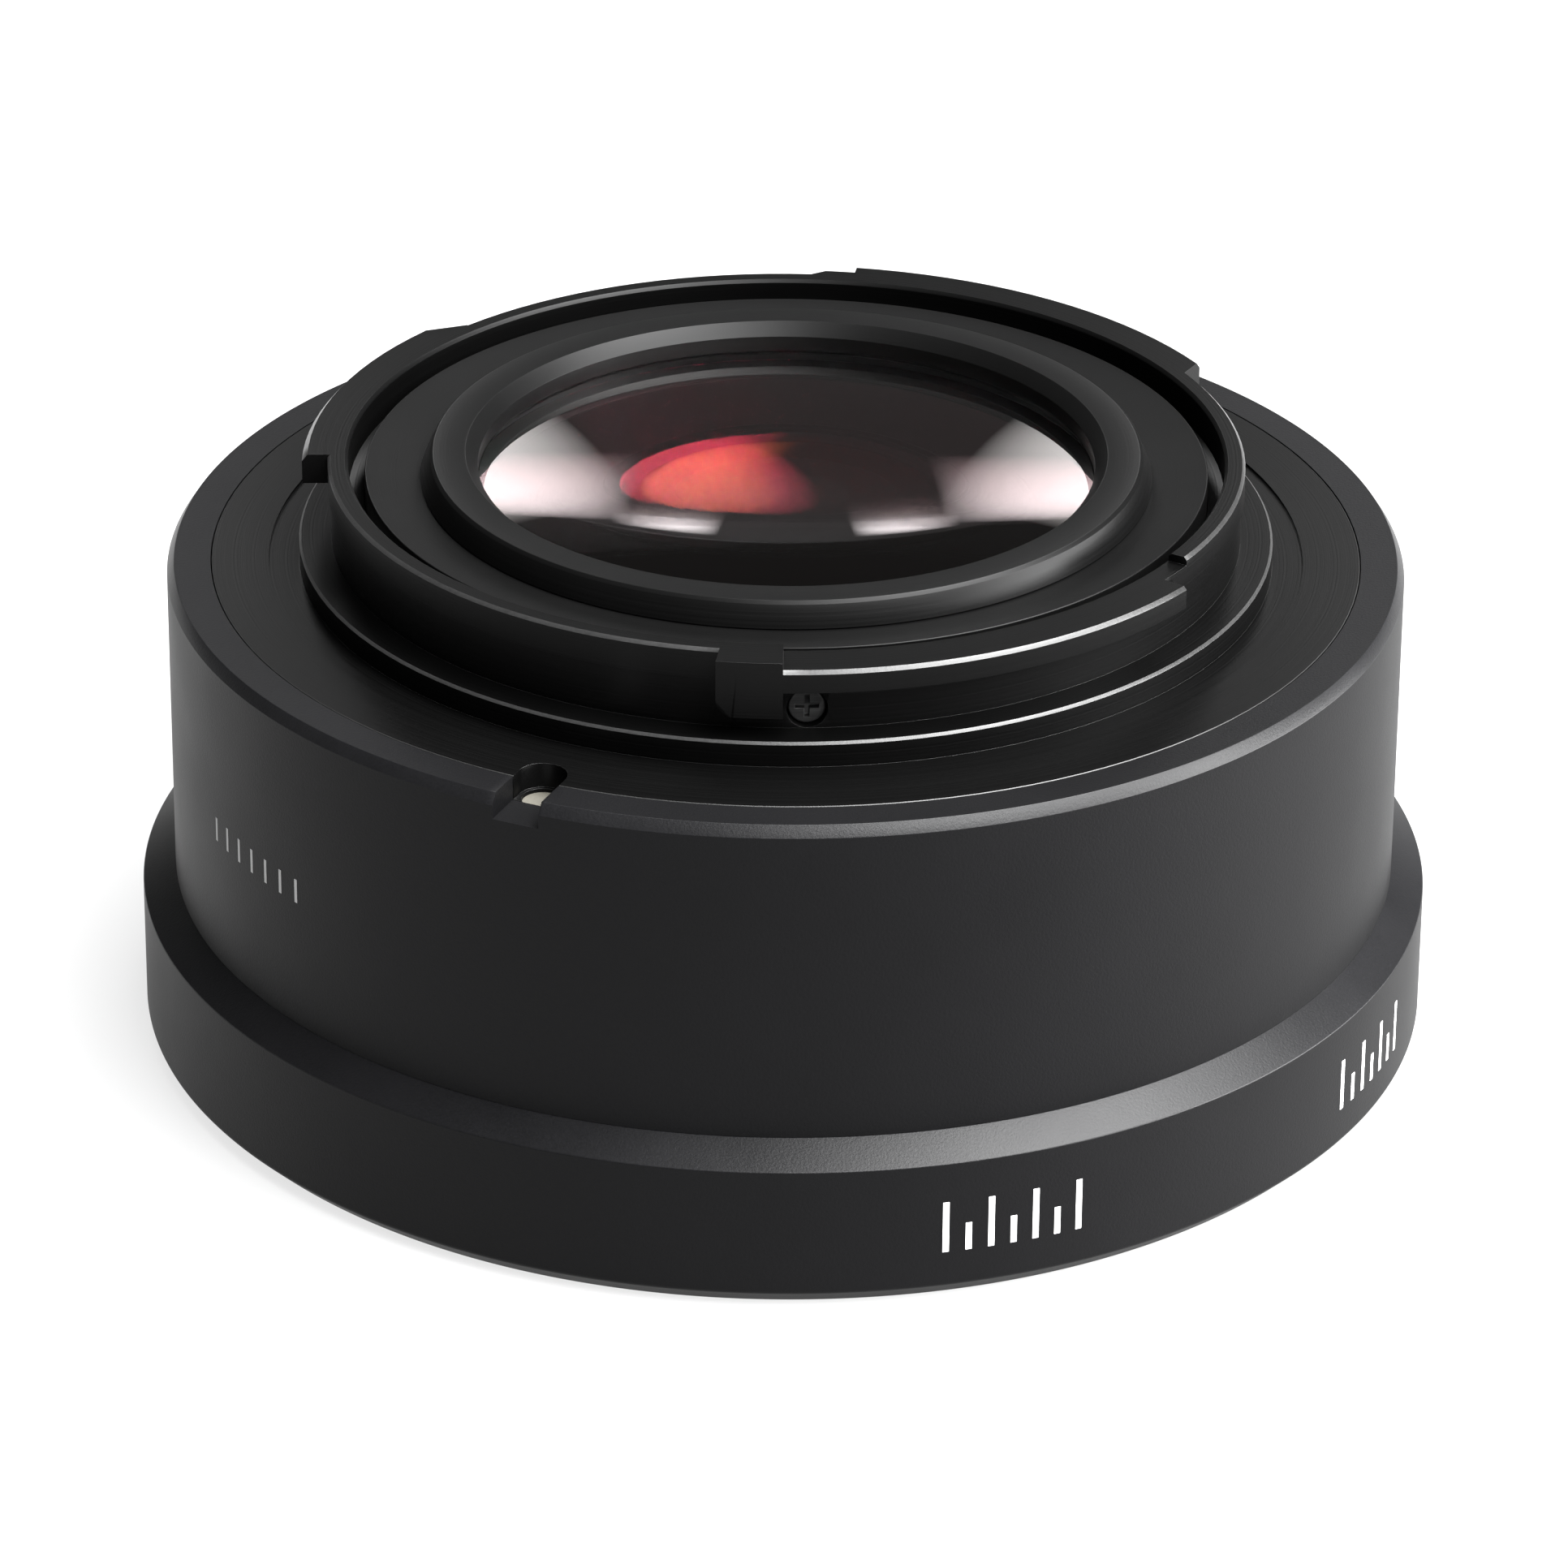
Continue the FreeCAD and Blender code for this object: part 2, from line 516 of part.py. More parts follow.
def make_lens_ring():
    """Wide ring at the lens side: bevel, foot, recess for the plate and web behind it."""
    ring = turned("lens_ring_blank", [
        (RECESS, "0"),
        (f"{RING} - foot_edge_width", "0"),
        (RING, "foot_edge_height"),
        (RING, f"{RING_TOP} - bevel_height"),
        (BARREL, RING_TOP),
        (RING_BORE, RING_TOP),
        (RING_BORE, WEB_TOP),
        (TAIL, WEB_TOP),
        (TAIL, PLATE_BACK),
        (RECESS, PLATE_BACK),
    ])
    shank = "plate_shank_radius + screw_gap"
    drilled(ring, "ring_screw_holes", [
        (PLATE_SCREWS, f"{PLATE_BACK} - seat_gap"),
        (f"{PLATE_SCREWS} + {shank}", f"{PLATE_BACK} - seat_gap"),
        (f"{PLATE_SCREWS} + {shank}", f"{WEB_TOP} + seat_gap"),
        (PLATE_SCREWS, f"{WEB_TOP} + seat_gap"),
    ], PLATE_SCREWS, "plate_screw_count")
    place(ring, yaw="plate_screw_azimuth")
    window = block(
        "knob_window",
        f"{SPIGOT} - pocket_gap",
        f"{RING} - {SPIGOT} + pocket_gap + cut_reach",
        "knob_width + 2 * knob_side_gap",
        f"{KNOB_BOTTOM} - release_stop",
        "knob_height + release_travel + 2 * release_stop",
        "release_azimuth",
    )
    pin_x, pin_y = polar(PIN_CIRCLE, "release_azimuth")
    pin_way = rod(
        "ring_pin_hole",
        "pin_radius + pocket_gap",
        "web_thickness + 2 * seat_gap",
        pin_x, pin_y, f"{PLATE_BACK} - seat_gap",
    )
    node(cut("lens_side_ring", ring, window, pin_way))


def make_barrel():
    """Barrel: spigot, grooved tail bore, lip, hollow, inner deck and camera-side rim."""
    outline = [(SPIGOT, WEB_TOP), (TAIL, WEB_TOP)]
    grooves = int((size_of(LIP_BOTTOM) - size_of(WEB_TOP)) / size_of("groove_pitch")) - 1
    for index in range(1, grooves):
        foot = f"({WEB_TOP} + {index} * groove_pitch)"
        outline.append((TAIL, foot))
        outline.append((f"{TAIL} + groove_depth", f"{foot} + groove_depth"))
        outline.append((TAIL, f"{foot} + groove_depth"))
    outline += [
        (TAIL, LIP_BOTTOM),
        (f"{TAIL} - lip_width", LIP_BOTTOM),
        (f"{TAIL} - lip_width", LIP_TOP),
        (CHAMBER, LIP_TOP),
        (CHAMBER, DECK_BACK),
        (DECK_HOLE, DECK_BACK),
        (DECK_HOLE, FLANGE_BACK),
        (f"{BAYONET} + fit_gap", FLANGE_BACK),
        (f"{BAYONET} + fit_gap", f"{CAMERA_FACE} - seam_edge"),
        (f"{BAYONET} + fit_gap + seam_edge", CAMERA_FACE),
        (f"{BARREL} - rim_edge_width", CAMERA_FACE),
        (BARREL, f"{CAMERA_FACE} - rim_edge_height"),
        (BARREL, RING_TOP),
        (SPIGOT, RING_TOP),
    ]
    barrel = turned("barrel_blank", outline)
    shank = "deck_shank_radius + screw_gap"
    drilled(barrel, "deck_holes", [
        (DECK_SCREWS, f"{DECK_BACK} - seat_gap"),
        (f"{DECK_SCREWS} + {shank}", f"{DECK_BACK} - seat_gap"),
        (f"{DECK_SCREWS} + {shank}", f"{FLANGE_BACK} + seat_gap"),
        (DECK_SCREWS, f"{FLANGE_BACK} + seat_gap"),
    ], DECK_SCREWS, "deck_screw_count")
    place(barrel, yaw="deck_screw_azimuth")
    holes = []
    depth = f"{PLATE_SCREW_END} - {WEB_TOP} + 2 * seat_gap"
    for index in range(int(size_of("plate_screw_count"))):
        x, y = polar(PLATE_SCREWS, f"(plate_screw_azimuth + {index} * 360 / plate_screw_count)")
        hole = rod(
            f"spigot_hole_{index}",
            "plate_shank_radius + screw_gap",
            depth,
            x, y, f"{WEB_TOP} - seat_gap",
        )
        holes.append(hole)
    pocket = block(
        "slide_pocket",
        POCKET,
        f"{SPIGOT} - {POCKET} + seat_gap",
        f"{SLIDE_WIDTH} + 2 * pocket_gap",
        f"{WEB_TOP} - seat_gap",
        "pocket_height + seat_gap",
        "release_azimuth",
    )
    node(cut("body_barrel", barrel, pocket, notch_tool("barrel_notch"), *holes))


def notch_tool(name):
    """Open slot with a round inner end, for the camera's locking pin."""
    bottom = f"{CAMERA_FACE} - notch_depth"
    height = "notch_depth + cut_reach"
    length = f"{BARREL} - {NOTCH_CENTRE} + cut_reach"
    x, y = polar(NOTCH_CENTRE, "notch_azimuth")
    run = block(f"{name}_run", NOTCH_CENTRE, length, "notch_width", bottom, height, "notch_azimuth")
    end = rod(f"{name}_end", "notch_width / 2", height, x, y, bottom)
    well = rod(
        f"{name}_well", "well_radius", "well_depth + notch_depth", x, y, f"{bottom} - well_depth")
    return fused(name, run, end, well)


def make_camera_bayonet():
    """Male bayonet: flange with relief and locating step, collar, lugs, stop and cut-down."""
    ring = turned("bayonet_blank", [
        (THREAD, FLANGE_BACK),
        (BAYONET, FLANGE_BACK),
        (BAYONET, f"{CAMERA_FACE} - seam_edge"),
        (f"{BAYONET} - seam_edge", CAMERA_FACE),
        (RELIEF, CAMERA_FACE),
        (RELIEF, f"{CAMERA_FACE} - relief_depth"),
        (STEP, f"{CAMERA_FACE} - relief_depth"),
        (STEP, f"{CAMERA_FACE} + step_height - step_edge"),
        (f"{STEP} - step_edge", f"{CAMERA_FACE} + step_height"),
        (COLLAR, f"{CAMERA_FACE} + step_height"),
        (COLLAR, LUG_BOTTOM),
        (BAND, LUG_BOTTOM),
        (BAND, f"{COLLAR_TOP} - collar_edge"),
        (f"{BAND} - collar_edge", COLLAR_TOP),
        (f"{COLLAR_BORE} + collar_edge", COLLAR_TOP),
        (COLLAR_BORE, f"{COLLAR_TOP} - collar_edge"),
        (COLLAR_BORE, BORE_STEP),
        (THREAD, THREAD_TOP),
    ])
    drilled(ring, "bayonet_threads", [
        (DECK_SCREWS, f"{FLANGE_BACK} - seat_gap"),
        (f"{DECK_SCREWS} + deck_shank_radius + screw_gap", f"{FLANGE_BACK} - seat_gap"),
        (f"{DECK_SCREWS} + deck_shank_radius + screw_gap", f"{FLANGE_BACK} + deck_thread_depth"),
        (DECK_SCREWS, f"{FLANGE_BACK} + deck_thread_depth + seat_gap"),
    ], DECK_SCREWS, "deck_screw_count")
    place(ring, yaw="deck_screw_azimuth")
    root = f"{COLLAR} - band_proud"
    blank = fused("bayonet_with_lugs", ring, *lugs(root), stop_block(root))
    contacts = sector(
        "contact_cut", f"{THREAD} - cut_reach", f"{LUG} + cut_reach", LUG_TOP,
        f"{COLLAR_TOP} - {LUG_TOP} + cut_reach", "front_lug_start", "cut_span",
    )
    node(cut("camera_bayonet", blank, contacts, notch_tool("bayonet_notch"), lock_screw_hole()))


def lugs(root):
    """Three lugs with chamfered tops, and the lead-ins that draw the camera's springs on."""
    full = f"({COLLAR_TOP} - {LUG_BOTTOM})"
    wide = f"{LUG} + cut_reach"
    profile = turned("lug_profile", [
        (root, LUG_BOTTOM),
        (LUG, LUG_BOTTOM),
        (LUG, f"{COLLAR_TOP} - lug_edge_height"),
        (f"{LUG} - lug_edge_width", COLLAR_TOP),
        (root, COLLAR_TOP),
    ])
    front = sector("front_arc", root, wide, LUG_BOTTOM, full, "front_lug_start", "front_lug_span")
    left = sector("left_arc", root, wide, LUG_BOTTOM, full, "left_lug_start", "left_lug_span")
    right = slanted(
        "right_arc",
        sector("right_whole", root, wide, LUG_BOTTOM, full, "right_lug_start - right_end_span",
               "right_lug_span + right_end_span"),
        LUG, "right_lug_start", "right_end_facing")
    right_lead_start = "(right_lug_start + right_lug_span)"
    right_lead = slanted(
        "right_lead",
        sector("right_lead_whole", root, f"{COLLAR} + right_lead_width", LUG_BOTTOM, full,
               right_lead_start, "right_lead_span"),
        f"({COLLAR} + right_lead_width)", f"({right_lead_start} + right_lead_flat)",
        "right_lead_facing")
    left_lead = slanted(
        "left_lead",
        sector("left_lead_whole", root, f"{COLLAR} + left_lead_width", LUG_BOTTOM, full,
               "left_lug_start - left_lead_span", "left_lead_span"),
        f"({COLLAR} + left_lead_width)", "left_lug_start", "left_lead_facing")
    raised = overlap("lug_tops", fused("lug_arcs", front, left, right), profile)
    return raised, right_lead, left_lead


def slanted(name, arc, radius, azimuth, facing):
    """An arc cut off by an upright plane that goes through a point and faces a direction."""
    reach = f"{radius} * cos(({azimuth} - {facing}) * 1deg)"
    kept = block(
        f"{name}_kept", f"(0 - {LUG})", f"{LUG} + {reach}", f"2 * {LUG}",
        f"{LUG_BOTTOM} - cut_reach", f"{COLLAR_TOP} - {LUG_BOTTOM} + 2 * cut_reach", facing)
    return overlap(name, arc, kept)


def radial_rod(name, radius, start, length, height, azimuth):
    """A cylinder that lies along a radius, at a height."""
    feature = document.addObject("Part::Cylinder", name)
    feature.setExpression("Radius", linked(radius))
    feature.setExpression("Height", linked(length))
    x, y = polar(start, azimuth)
    return place(feature, x, y, height, azimuth, "90")


def stop_block(root):
    """Block that stops the turn at the camera's pin, with a milled corner at its foot."""
    start = "(front_lug_start - stop_span)"
    plain = sector(
        "stop_plain", root, LUG, STOP_BOTTOM, f"{COLLAR_TOP} - {STOP_BOTTOM}",
        start, "stop_span",
    )
    inside = f"{COLLAR} - cut_reach"
    out = f"{LUG} - {COLLAR} + 2 * cut_reach"
    waste = block(
        "stop_waste", inside, out, "2 * stop_corner", STOP_BOTTOM, "stop_corner", start,
    )
    centre = f"({start} + stop_corner / {LUG} * 180 / pi)"
    kept = radial_rod(
        "stop_round", "stop_corner", f"{inside} - cut_reach", f"{out} + 2 * cut_reach",
        f"{STOP_BOTTOM} + stop_corner", centre,
    )
    return cut("stop_block", plain, cut("stop_corner_waste", waste, kept))


def lock_screw_hole():
    """Stepped radial hole for the screw that locks the optical barrel."""
    head = "lock_head_radius + lock_head_gap"
    floor = f"{COLLAR} - lock_head_sink - lock_head_height"
    hole = turned("lock_screw_hole", [
        (f"{THREAD} - cut_reach", "0"),
        (f"{COLLAR} + cut_reach", "0"),
        (f"{COLLAR} + cut_reach", head),
        (floor, head),
        (floor, "lock_shank_radius + screw_gap"),
        (f"{THREAD} - cut_reach", "lock_shank_radius + screw_gap"),
    ], "H_Axis")
    return place(hole, z=LOCK_AXIS, yaw="lock_screw_azimuth")


def make_lock_screw():
    """Small cross-head screw that holds the optical barrel where it was set."""
    top = f"{COLLAR} - lock_head_sink"
    shank = turned("lock_screw_blank", [
        (THREAD, "0"),
        (top, "0"),
        (top, "lock_head_radius - screw_gap"),
        (f"{top} - screw_gap", "lock_head_radius"),
        (f"{top} - lock_head_height", "lock_head_radius"),
        (f"{top} - lock_head_height", "lock_shank_radius"),
        (THREAD, "lock_shank_radius"),
    ], "H_Axis")
    place(shank, z=LOCK_AXIS, yaw="lock_screw_azimuth")
    depth = "lock_head_height / 2"
    arm = "small_cross_length"
    across = block(
        "lock_cross_across", f"{top} - {depth}", "lock_head_height", arm,
        f"{LOCK_AXIS} - small_cross_width / 2", "small_cross_width", "lock_screw_azimuth",
    )
    along = block(
        "lock_cross_along", f"{top} - {depth}", "lock_head_height", "small_cross_width",
        f"{LOCK_AXIS} - {arm} / 2", arm, "lock_screw_azimuth",
    )
    node(cut("optics_lock_screw", shank, across, along))


def make_optical_barrel():
    """Threaded barrel that carries the glasses, with the dished face round the rear cell."""
    outside = f"{THREAD} - fit_gap"
    wide = f"{FRONT_GLASS} + fit_gap"
    narrow = f"{MIDDLE_GLASS} + fit_gap"
    barrel = turned("optical_barrel", [
        (wide, NOSE),
        (f"{SLIM} - nose_edge", NOSE),
        (SLIM, f"{NOSE} + nose_edge"),
        (SLIM, THREAD_BOTTOM),
        (outside, THREAD_BOTTOM),
        (outside, f"{DISH} + dish_rise"),
        (NECK_FOOT, DISH),
        (f"{CELL} + fit_gap", DISH),
        (f"{CELL} + fit_gap", CELL_SEAT),
        (LIGHT_STOP, CELL_SEAT),
        (LIGHT_STOP, STOP_SEAT),
        (narrow, STOP_SEAT),
        (narrow, FRONT_STEP),
        (wide, FRONT_STEP),
    ])
    node(barrel)


def make_rear_cell():
    """Rear cell: neck that stands above the dished face and the lip over the rear glass."""
    bore = f"{REAR_GLASS} + fit_gap"
    node(turned("rear_cell", [
        (bore, CELL_BOTTOM),
        (CELL, CELL_BOTTOM),
        (CELL, f"{DISH} + seat_gap"),
        (NECK_FOOT, f"{DISH} + seat_gap"),
        (NECK_TOP, f"{CELL_TOP} - neck_edge"),
        (f"{NECK_TOP} - neck_edge", CELL_TOP),
        (f"{WINDOW} + window_bevel_width", CELL_TOP),
        (WINDOW, f"{CELL_TOP} - window_bevel_height"),
        (WINDOW, WINDOW_LIP),
        (bore, WINDOW_LIP),
    ]))


def make_glasses():
    """Four separate glasses, each a disc met or hollowed by spheres on the axis."""
    rear = disc("rear_disc", REAR_GLASS, REAR_BACK, "rear_glass_thickness")
    crown = ball("rear_crown", REAR_CURVE, f"{REAR_CROWN} - {REAR_CURVE}")
    node(overlap("rear_element", rear, crown))
    third = disc("third_disc", MIDDLE_GLASS, THIRD_FRONT, "third_glass_thickness")
    upper = ball("third_upper", THIRD_CURVE, f"{THIRD_CROWN} - {THIRD_CURVE}")
    lower = ball("third_lower", THIRD_FRONT_CURVE, f"{THIRD_FRONT} + {THIRD_FRONT_CURVE}")
    node(overlap("third_element", third, upper, lower))
    second = disc("second_disc", MIDDLE_GLASS, SECOND_FRONT, f"{SECOND_EDGE} - {SECOND_FRONT}")
    hollow = ball("second_hollow", SECOND_CURVE, f"{SECOND_HOLLOW} + {SECOND_CURVE}")
    node(cut("second_element", second, hollow))
    front = disc("front_disc", FRONT_GLASS, FRONT_CROWN, f"{FRONT_BACK} - {FRONT_CROWN}")
    nose = ball("front_nose", FRONT_CURVE, f"{FRONT_CROWN} + {FRONT_CURVE}")
    node(overlap("front_element", front, nose))


def plain_ring(name, inner, outer, bottom, top):
    """A turned ring of rectangular section."""
    return turned(name, [(inner, bottom), (outer, bottom), (outer, top), (inner, top)])


def retaining_ring(name, inner, outer, bottom, top):
    """A threaded ring with two spanner slots in its lens-side face."""
    ring = plain_ring(f"{name}_blank", inner, outer, bottom, top)
    slot = block(
        f"{name}_slots", f"-({outer}) - cut_reach", f"2 * ({outer} + cut_reach)", "spanner_width",
        f"{bottom} - cut_reach", "spanner_depth + cut_reach", "0",
    )
    return cut(name, ring, slot)


def make_rings():
    """Spacers, retaining rings and the baffle round the optical barrel."""
    bore = MIDDLE_GLASS
    node(plain_ring("middle_spacer", SPACER_BORE, bore, MIDDLE_BOTTOM, MIDDLE_TOP))
    node(plain_ring("front_spacer", SPACER_BORE, bore, FRONT_STEP, f"{SECOND_FRONT} - seat_gap"))
    node(retaining_ring(
        "rear_retaining_ring", REAR_RING_BORE, REAR_GLASS,
        REAR_RING_BOTTOM, REAR_RING_TOP,
    ))
    node(retaining_ring(
        "front_retaining_ring", FRONT_RING_BORE, FRONT_GLASS,
        FRONT_RING_BOTTOM, FRONT_RING_TOP,
    ))
    node(plain_ring(
        "inner_baffle", f"{SLIM} + baffle_gap", f"{TAIL} - fit_gap",
        f"{LIP_BOTTOM} - seat_gap - baffle_thickness", f"{LIP_BOTTOM} - seat_gap",
    ))


def make_lens_plate():
    """Lens bayonet plate: stepped lugs round the throat, countersunk holes and the pin hole."""
    head = "plate_head_radius + screw_gap"
    shank = "plate_shank_radius + screw_gap"
    plate = turned("plate_blank", [
        (THROAT_LUG, PLATE_FACE),
        (f"{PLATE} - plate_edge", PLATE_FACE),
        (PLATE, f"{PLATE_FACE} + plate_edge"),
        (PLATE, f"{PLATE_BACK} - seat_gap"),
        (THROAT, f"{PLATE_BACK} - seat_gap"),
        (THROAT, THROAT_LUG_BACK),
        (THROAT_LUG, THROAT_LUG_BACK),
    ])
    drilled(plate, "countersinks", [
        (PLATE_SCREWS, f"{PLATE_FACE} - seat_gap"),
        (f"{PLATE_SCREWS} + {head} + seat_gap", f"{PLATE_FACE} - seat_gap"),
        (f"{PLATE_SCREWS} + {shank}", f"{PLATE_FACE} + {head} - ({shank})"),
        (f"{PLATE_SCREWS} + {shank}", f"{PLATE_BACK} + seat_gap"),
        (PLATE_SCREWS, f"{PLATE_BACK} + seat_gap"),
    ], PLATE_SCREWS, "plate_screw_count")
    place(plate, yaw="plate_screw_azimuth")
    gaps = []
    for index in range(int(size_of("throat_lug_count"))):
        start = f"(throat_azimuth + throat_lug_span + {index} * 360 / throat_lug_count)"
        gaps.append(sector(
            f"throat_gap_{index}", f"{THROAT_LUG} - cut_reach", THROAT,
            f"{PLATE_FACE} - seat_gap", "plate_thickness + 2 * seat_gap",
            start, "360 / throat_lug_count - throat_lug_span",
        ))
    x, y = polar(PIN_CIRCLE, "release_azimuth")
    pin_hole = rod(
        "plate_pin_hole", "pin_radius + pin_gap", "plate_thickness + 2 * seat_gap",
        x, y, f"{PLATE_FACE} - seat_gap",
    )
    node(cut("lens_mount_plate", plate, pin_hole, *gaps))


def make_screw_set(name, circle, count, azimuth, outline, face):
    """A set of cross-head screws, one solid each, heads towards the lens side."""
    body = document.addObject("PartDesign::Body", name)
    body.AllowCompound = True
    sketch = closed_sketch(body, f"{name}_outline", "XZ_Plane", outline)
    screw = body.newObject("PartDesign::Revolution", f"{name}_first")
    screw.Profile = sketch
    screw.ReferenceAxis = own_axis(sketch, circle)
    screw.Angle = 360
    body.Tip = screw
    document.recompute()
    whole = screw.Shape.Volume
    thin = "cross_width / 2"
    arm = "cross_length / 2"
    cross = closed_sketch(body, f"{name}_cross", "XY_Plane", [
        (f"{circle} + {thin}", thin),
        (f"{circle} + {arm}", thin),
        (f"{circle} + {arm}", f"-{thin}"),
        (f"{circle} + {thin}", f"-{thin}"),
        (f"{circle} + {thin}", f"-({arm})"),
        (f"{circle} - {thin}", f"-({arm})"),
        (f"{circle} - {thin}", f"-{thin}"),
        (f"{circle} - {arm}", f"-{thin}"),
        (f"{circle} - {arm}", thin),
        (f"{circle} - {thin}", thin),
        (f"{circle} - {thin}", arm),
        (f"{circle} + {thin}", arm),
    ], lift=face)
    recess = body.newObject("PartDesign::Pocket", f"{name}_recess")
    recess.Profile = cross
    recess.setExpression("Length", linked("cross_depth"))
    recess.Reversed = True
    body.Tip = recess
    document.recompute()
    assert recess.Shape.Volume < whole, f"{name} recess cut nothing"
    repeated(body, f"{name}_all", [screw, recess], count)
    place(body, yaw=azimuth)
    node(body)


def make_screws():
    """Countersunk screws of the plate and pan-head screws of the camera bayonet."""
    circle = PLATE_SCREWS
    make_screw_set("plate_screws", circle, "plate_screw_count", "plate_screw_azimuth", [
        (circle, PLATE_FACE),
        (f"{circle} + plate_head_radius", PLATE_FACE),
        (f"{circle} + plate_shank_radius", PLATE_HEAD_END),
        (f"{circle} + plate_shank_radius", PLATE_SCREW_END),
        (circle, PLATE_SCREW_END),
    ], PLATE_FACE)
    circle = DECK_SCREWS
    face = f"({DECK_BACK} - seat_gap - deck_head_height)"
    end = f"{FLANGE_BACK} + deck_thread_depth"
    make_screw_set("bayonet_screws", circle, "deck_screw_count", "deck_screw_azimuth", [
        (circle, face),
        (f"{circle} + deck_head_radius - seat_gap", face),
        (f"{circle} + deck_head_radius", f"{face} + seat_gap"),
        (f"{circle} + deck_head_radius", f"{face} + deck_head_height"),
        (f"{circle} + deck_shank_radius", f"{face} + deck_head_height"),
        (f"{circle} + deck_shank_radius", f"{end} - seat_gap"),
        (circle, f"{end} - seat_gap"),
    ], face)


def make_leaf_springs():
    """Arched leaf springs behind the plate's lugs, which draw the mounted lens tight."""
    chord = f"({THROAT} * sin(leaf_span / 2 * 1deg))"
    arch = f"(({chord}^2 + leaf_rise^2) / (2 * leaf_rise))"
    inner = f"{THROAT_LUG} + leaf_margin"
    outer = f"{THROAT} - leaf_margin"
    foot = THROAT_LUG_BACK
    axis_height = f"({foot} + leaf_rise - {arch})"
    springs = []
    for index in range(int(size_of("throat_lug_count"))):
        middle = f"(throat_azimuth + throat_lug_span / 2 + {index} * 360 / throat_lug_count)"
        band = sector(
            f"leaf_band_{index}", inner, outer, foot, "leaf_rise + leaf_thickness",
            f"({middle} - leaf_span / 2)", "leaf_span",
        )
        curves = []
        for kind, radius in (("top", f"{arch} + leaf_thickness"), ("under", arch)):
            curves.append(radial_rod(
                f"leaf_{kind}_{index}", radius, f"{THROAT_LUG} - cut_reach",
                "throat_lug_width + 2 * cut_reach", axis_height, middle,
            ))
        shell = cut(f"leaf_shell_{index}", *curves)
        springs.append(overlap(f"leaf_spring_{index}", band, shell))
    group = document.addObject("Part::Compound", "leaf_springs")
    group.Links = springs
    document.recompute()
    node(group)


def make_release():
    """Release slide with its knob and arm, the locking pin and the pin's spring."""
    arm_bottom = f"({WEB_TOP} + release_stop)"
    arm_top = f"({arm_bottom} + arm_thickness)"
    knob_block = block(
        "knob_block", KNOB_BACK, f"{KNOB_FACE} - {KNOB_BACK}", "knob_width",
        KNOB_BOTTOM, "knob_height", "release_azimuth",
    )
    knob_round = disc("knob_round", KNOB_FACE, KNOB_BOTTOM, "knob_height")
    knob = overlap("knob_plain", knob_block, knob_round)
    grooves = []
    count = int(size_of("knob_groove_count"))
    for index in range(1, count + 1):
        height = f"{KNOB_BOTTOM} + {index} * knob_height / {count + 1} - knob_groove / 2"
        outer = disc(f"knob_groove_outer_{index}", f"{KNOB_FACE} + cut_reach", height, "knob_groove")
        inner = disc(f"knob_groove_inner_{index}", f"{KNOB_FACE} - knob_groove", height, "knob_groove")
        grooves.append(cut(f"knob_groove_{index}", outer, inner))
    knob = cut("knob_grooved", knob, *grooves)
    slide_block = block(
        "slide_block", SLIDE_BACK, "2 * slide_thickness", SLIDE_WIDTH,
        arm_bottom, "slide_height", "release_azimuth",
    )
    slide_round = disc("slide_round", SLIDE_FRONT, arm_bottom, "slide_height")
    slide = overlap("slide_plain", slide_block, slide_round)
    neck = block(
        "slide_neck", SLIDE_BACK, f"{KNOB_BACK} - {SLIDE_BACK} + seat_gap",
        "knob_width - 2 * pocket_gap", arm_bottom, "arm_thickness", "release_azimuth",
    )
    arm = block(
        "slide_arm", f"{POCKET} + pocket_gap", f"{SLIDE_BACK} - {POCKET} - pocket_gap + seat_gap",
        "2 * (pin_radius + arm_side)", arm_bottom, "arm_thickness", "release_azimuth",
    )
    body = fused("release_blank", knob, slide, neck, arm)
    x, y = polar(PIN_CIRCLE, "release_azimuth")
    hole = rod("release_pin_hole", "pin_radius", "arm_thickness + 2 * seat_gap", x, y,
               f"{arm_bottom} - seat_gap")
    node(cut("release_slider", body, hole))

    pin = turned("lock_pin", [
        ("0", f"{PLATE_FACE} - pin_reach"),
        ("pin_radius - pin_nose", f"{PLATE_FACE} - pin_reach"),
        ("pin_radius", f"{PLATE_FACE} - pin_reach + pin_nose"),
        ("pin_radius", arm_top),
        ("pin_stub_radius", arm_top),
        ("pin_stub_radius", f"{arm_top} + pin_stub_length"),
        ("0", f"{arm_top} + pin_stub_length"),
    ])
    node(place(pin, x, y))

    start = f"({arm_top} + spring_wire + seat_gap)"
    path = document.addObject("Part::Helix", "spring_path")
    path.setExpression("Radius", linked("spring_radius"))
    path.setExpression("Pitch", linked("spring_pitch"))
    path.setExpression("Height", linked(f"{POCKET_TOP} - spring_wire - seat_gap - {start}"))
    place(path, x, y, start)
    wire = document.addObject("Part::RegularPolygon", "spring_section")
    wire.Polygon = 8
    wire.setExpression("Circumradius", linked("spring_wire"))
    turn = "create(<<rotation>>; create(<<vector>>; 1; 0; 0); 90)"
    base = f"create(<<vector>>; {linked(x)} + dims.spring_radius; {linked(y)}; {linked(start)})"
    wire.setExpression("Placement", f"create(<<placement>>; {base}; {turn})")
    spring = document.addObject("Part::Sweep", "lock_spring")
    spring.Sections = [wire]
    spring.Spine = (path, [])
    spring.Solid = True
    spring.Frenet = True
    document.recompute()
    node(spring)


def check_document():
    """Stop on any feature that failed and on any piece without a valid solid."""
    for feature in document.Objects:
        failed = [word for word in feature.State if word in ("Invalid", "Error")]
        assert not failed, f"{feature.Name} is {feature.State}"
    for feature in NODES:
        shape = feature.Shape
        assert not shape.isNull() and shape.isValid(), f"{feature.Name} has no valid shape"
        assert shape.Solids, f"{feature.Name} has no solid"


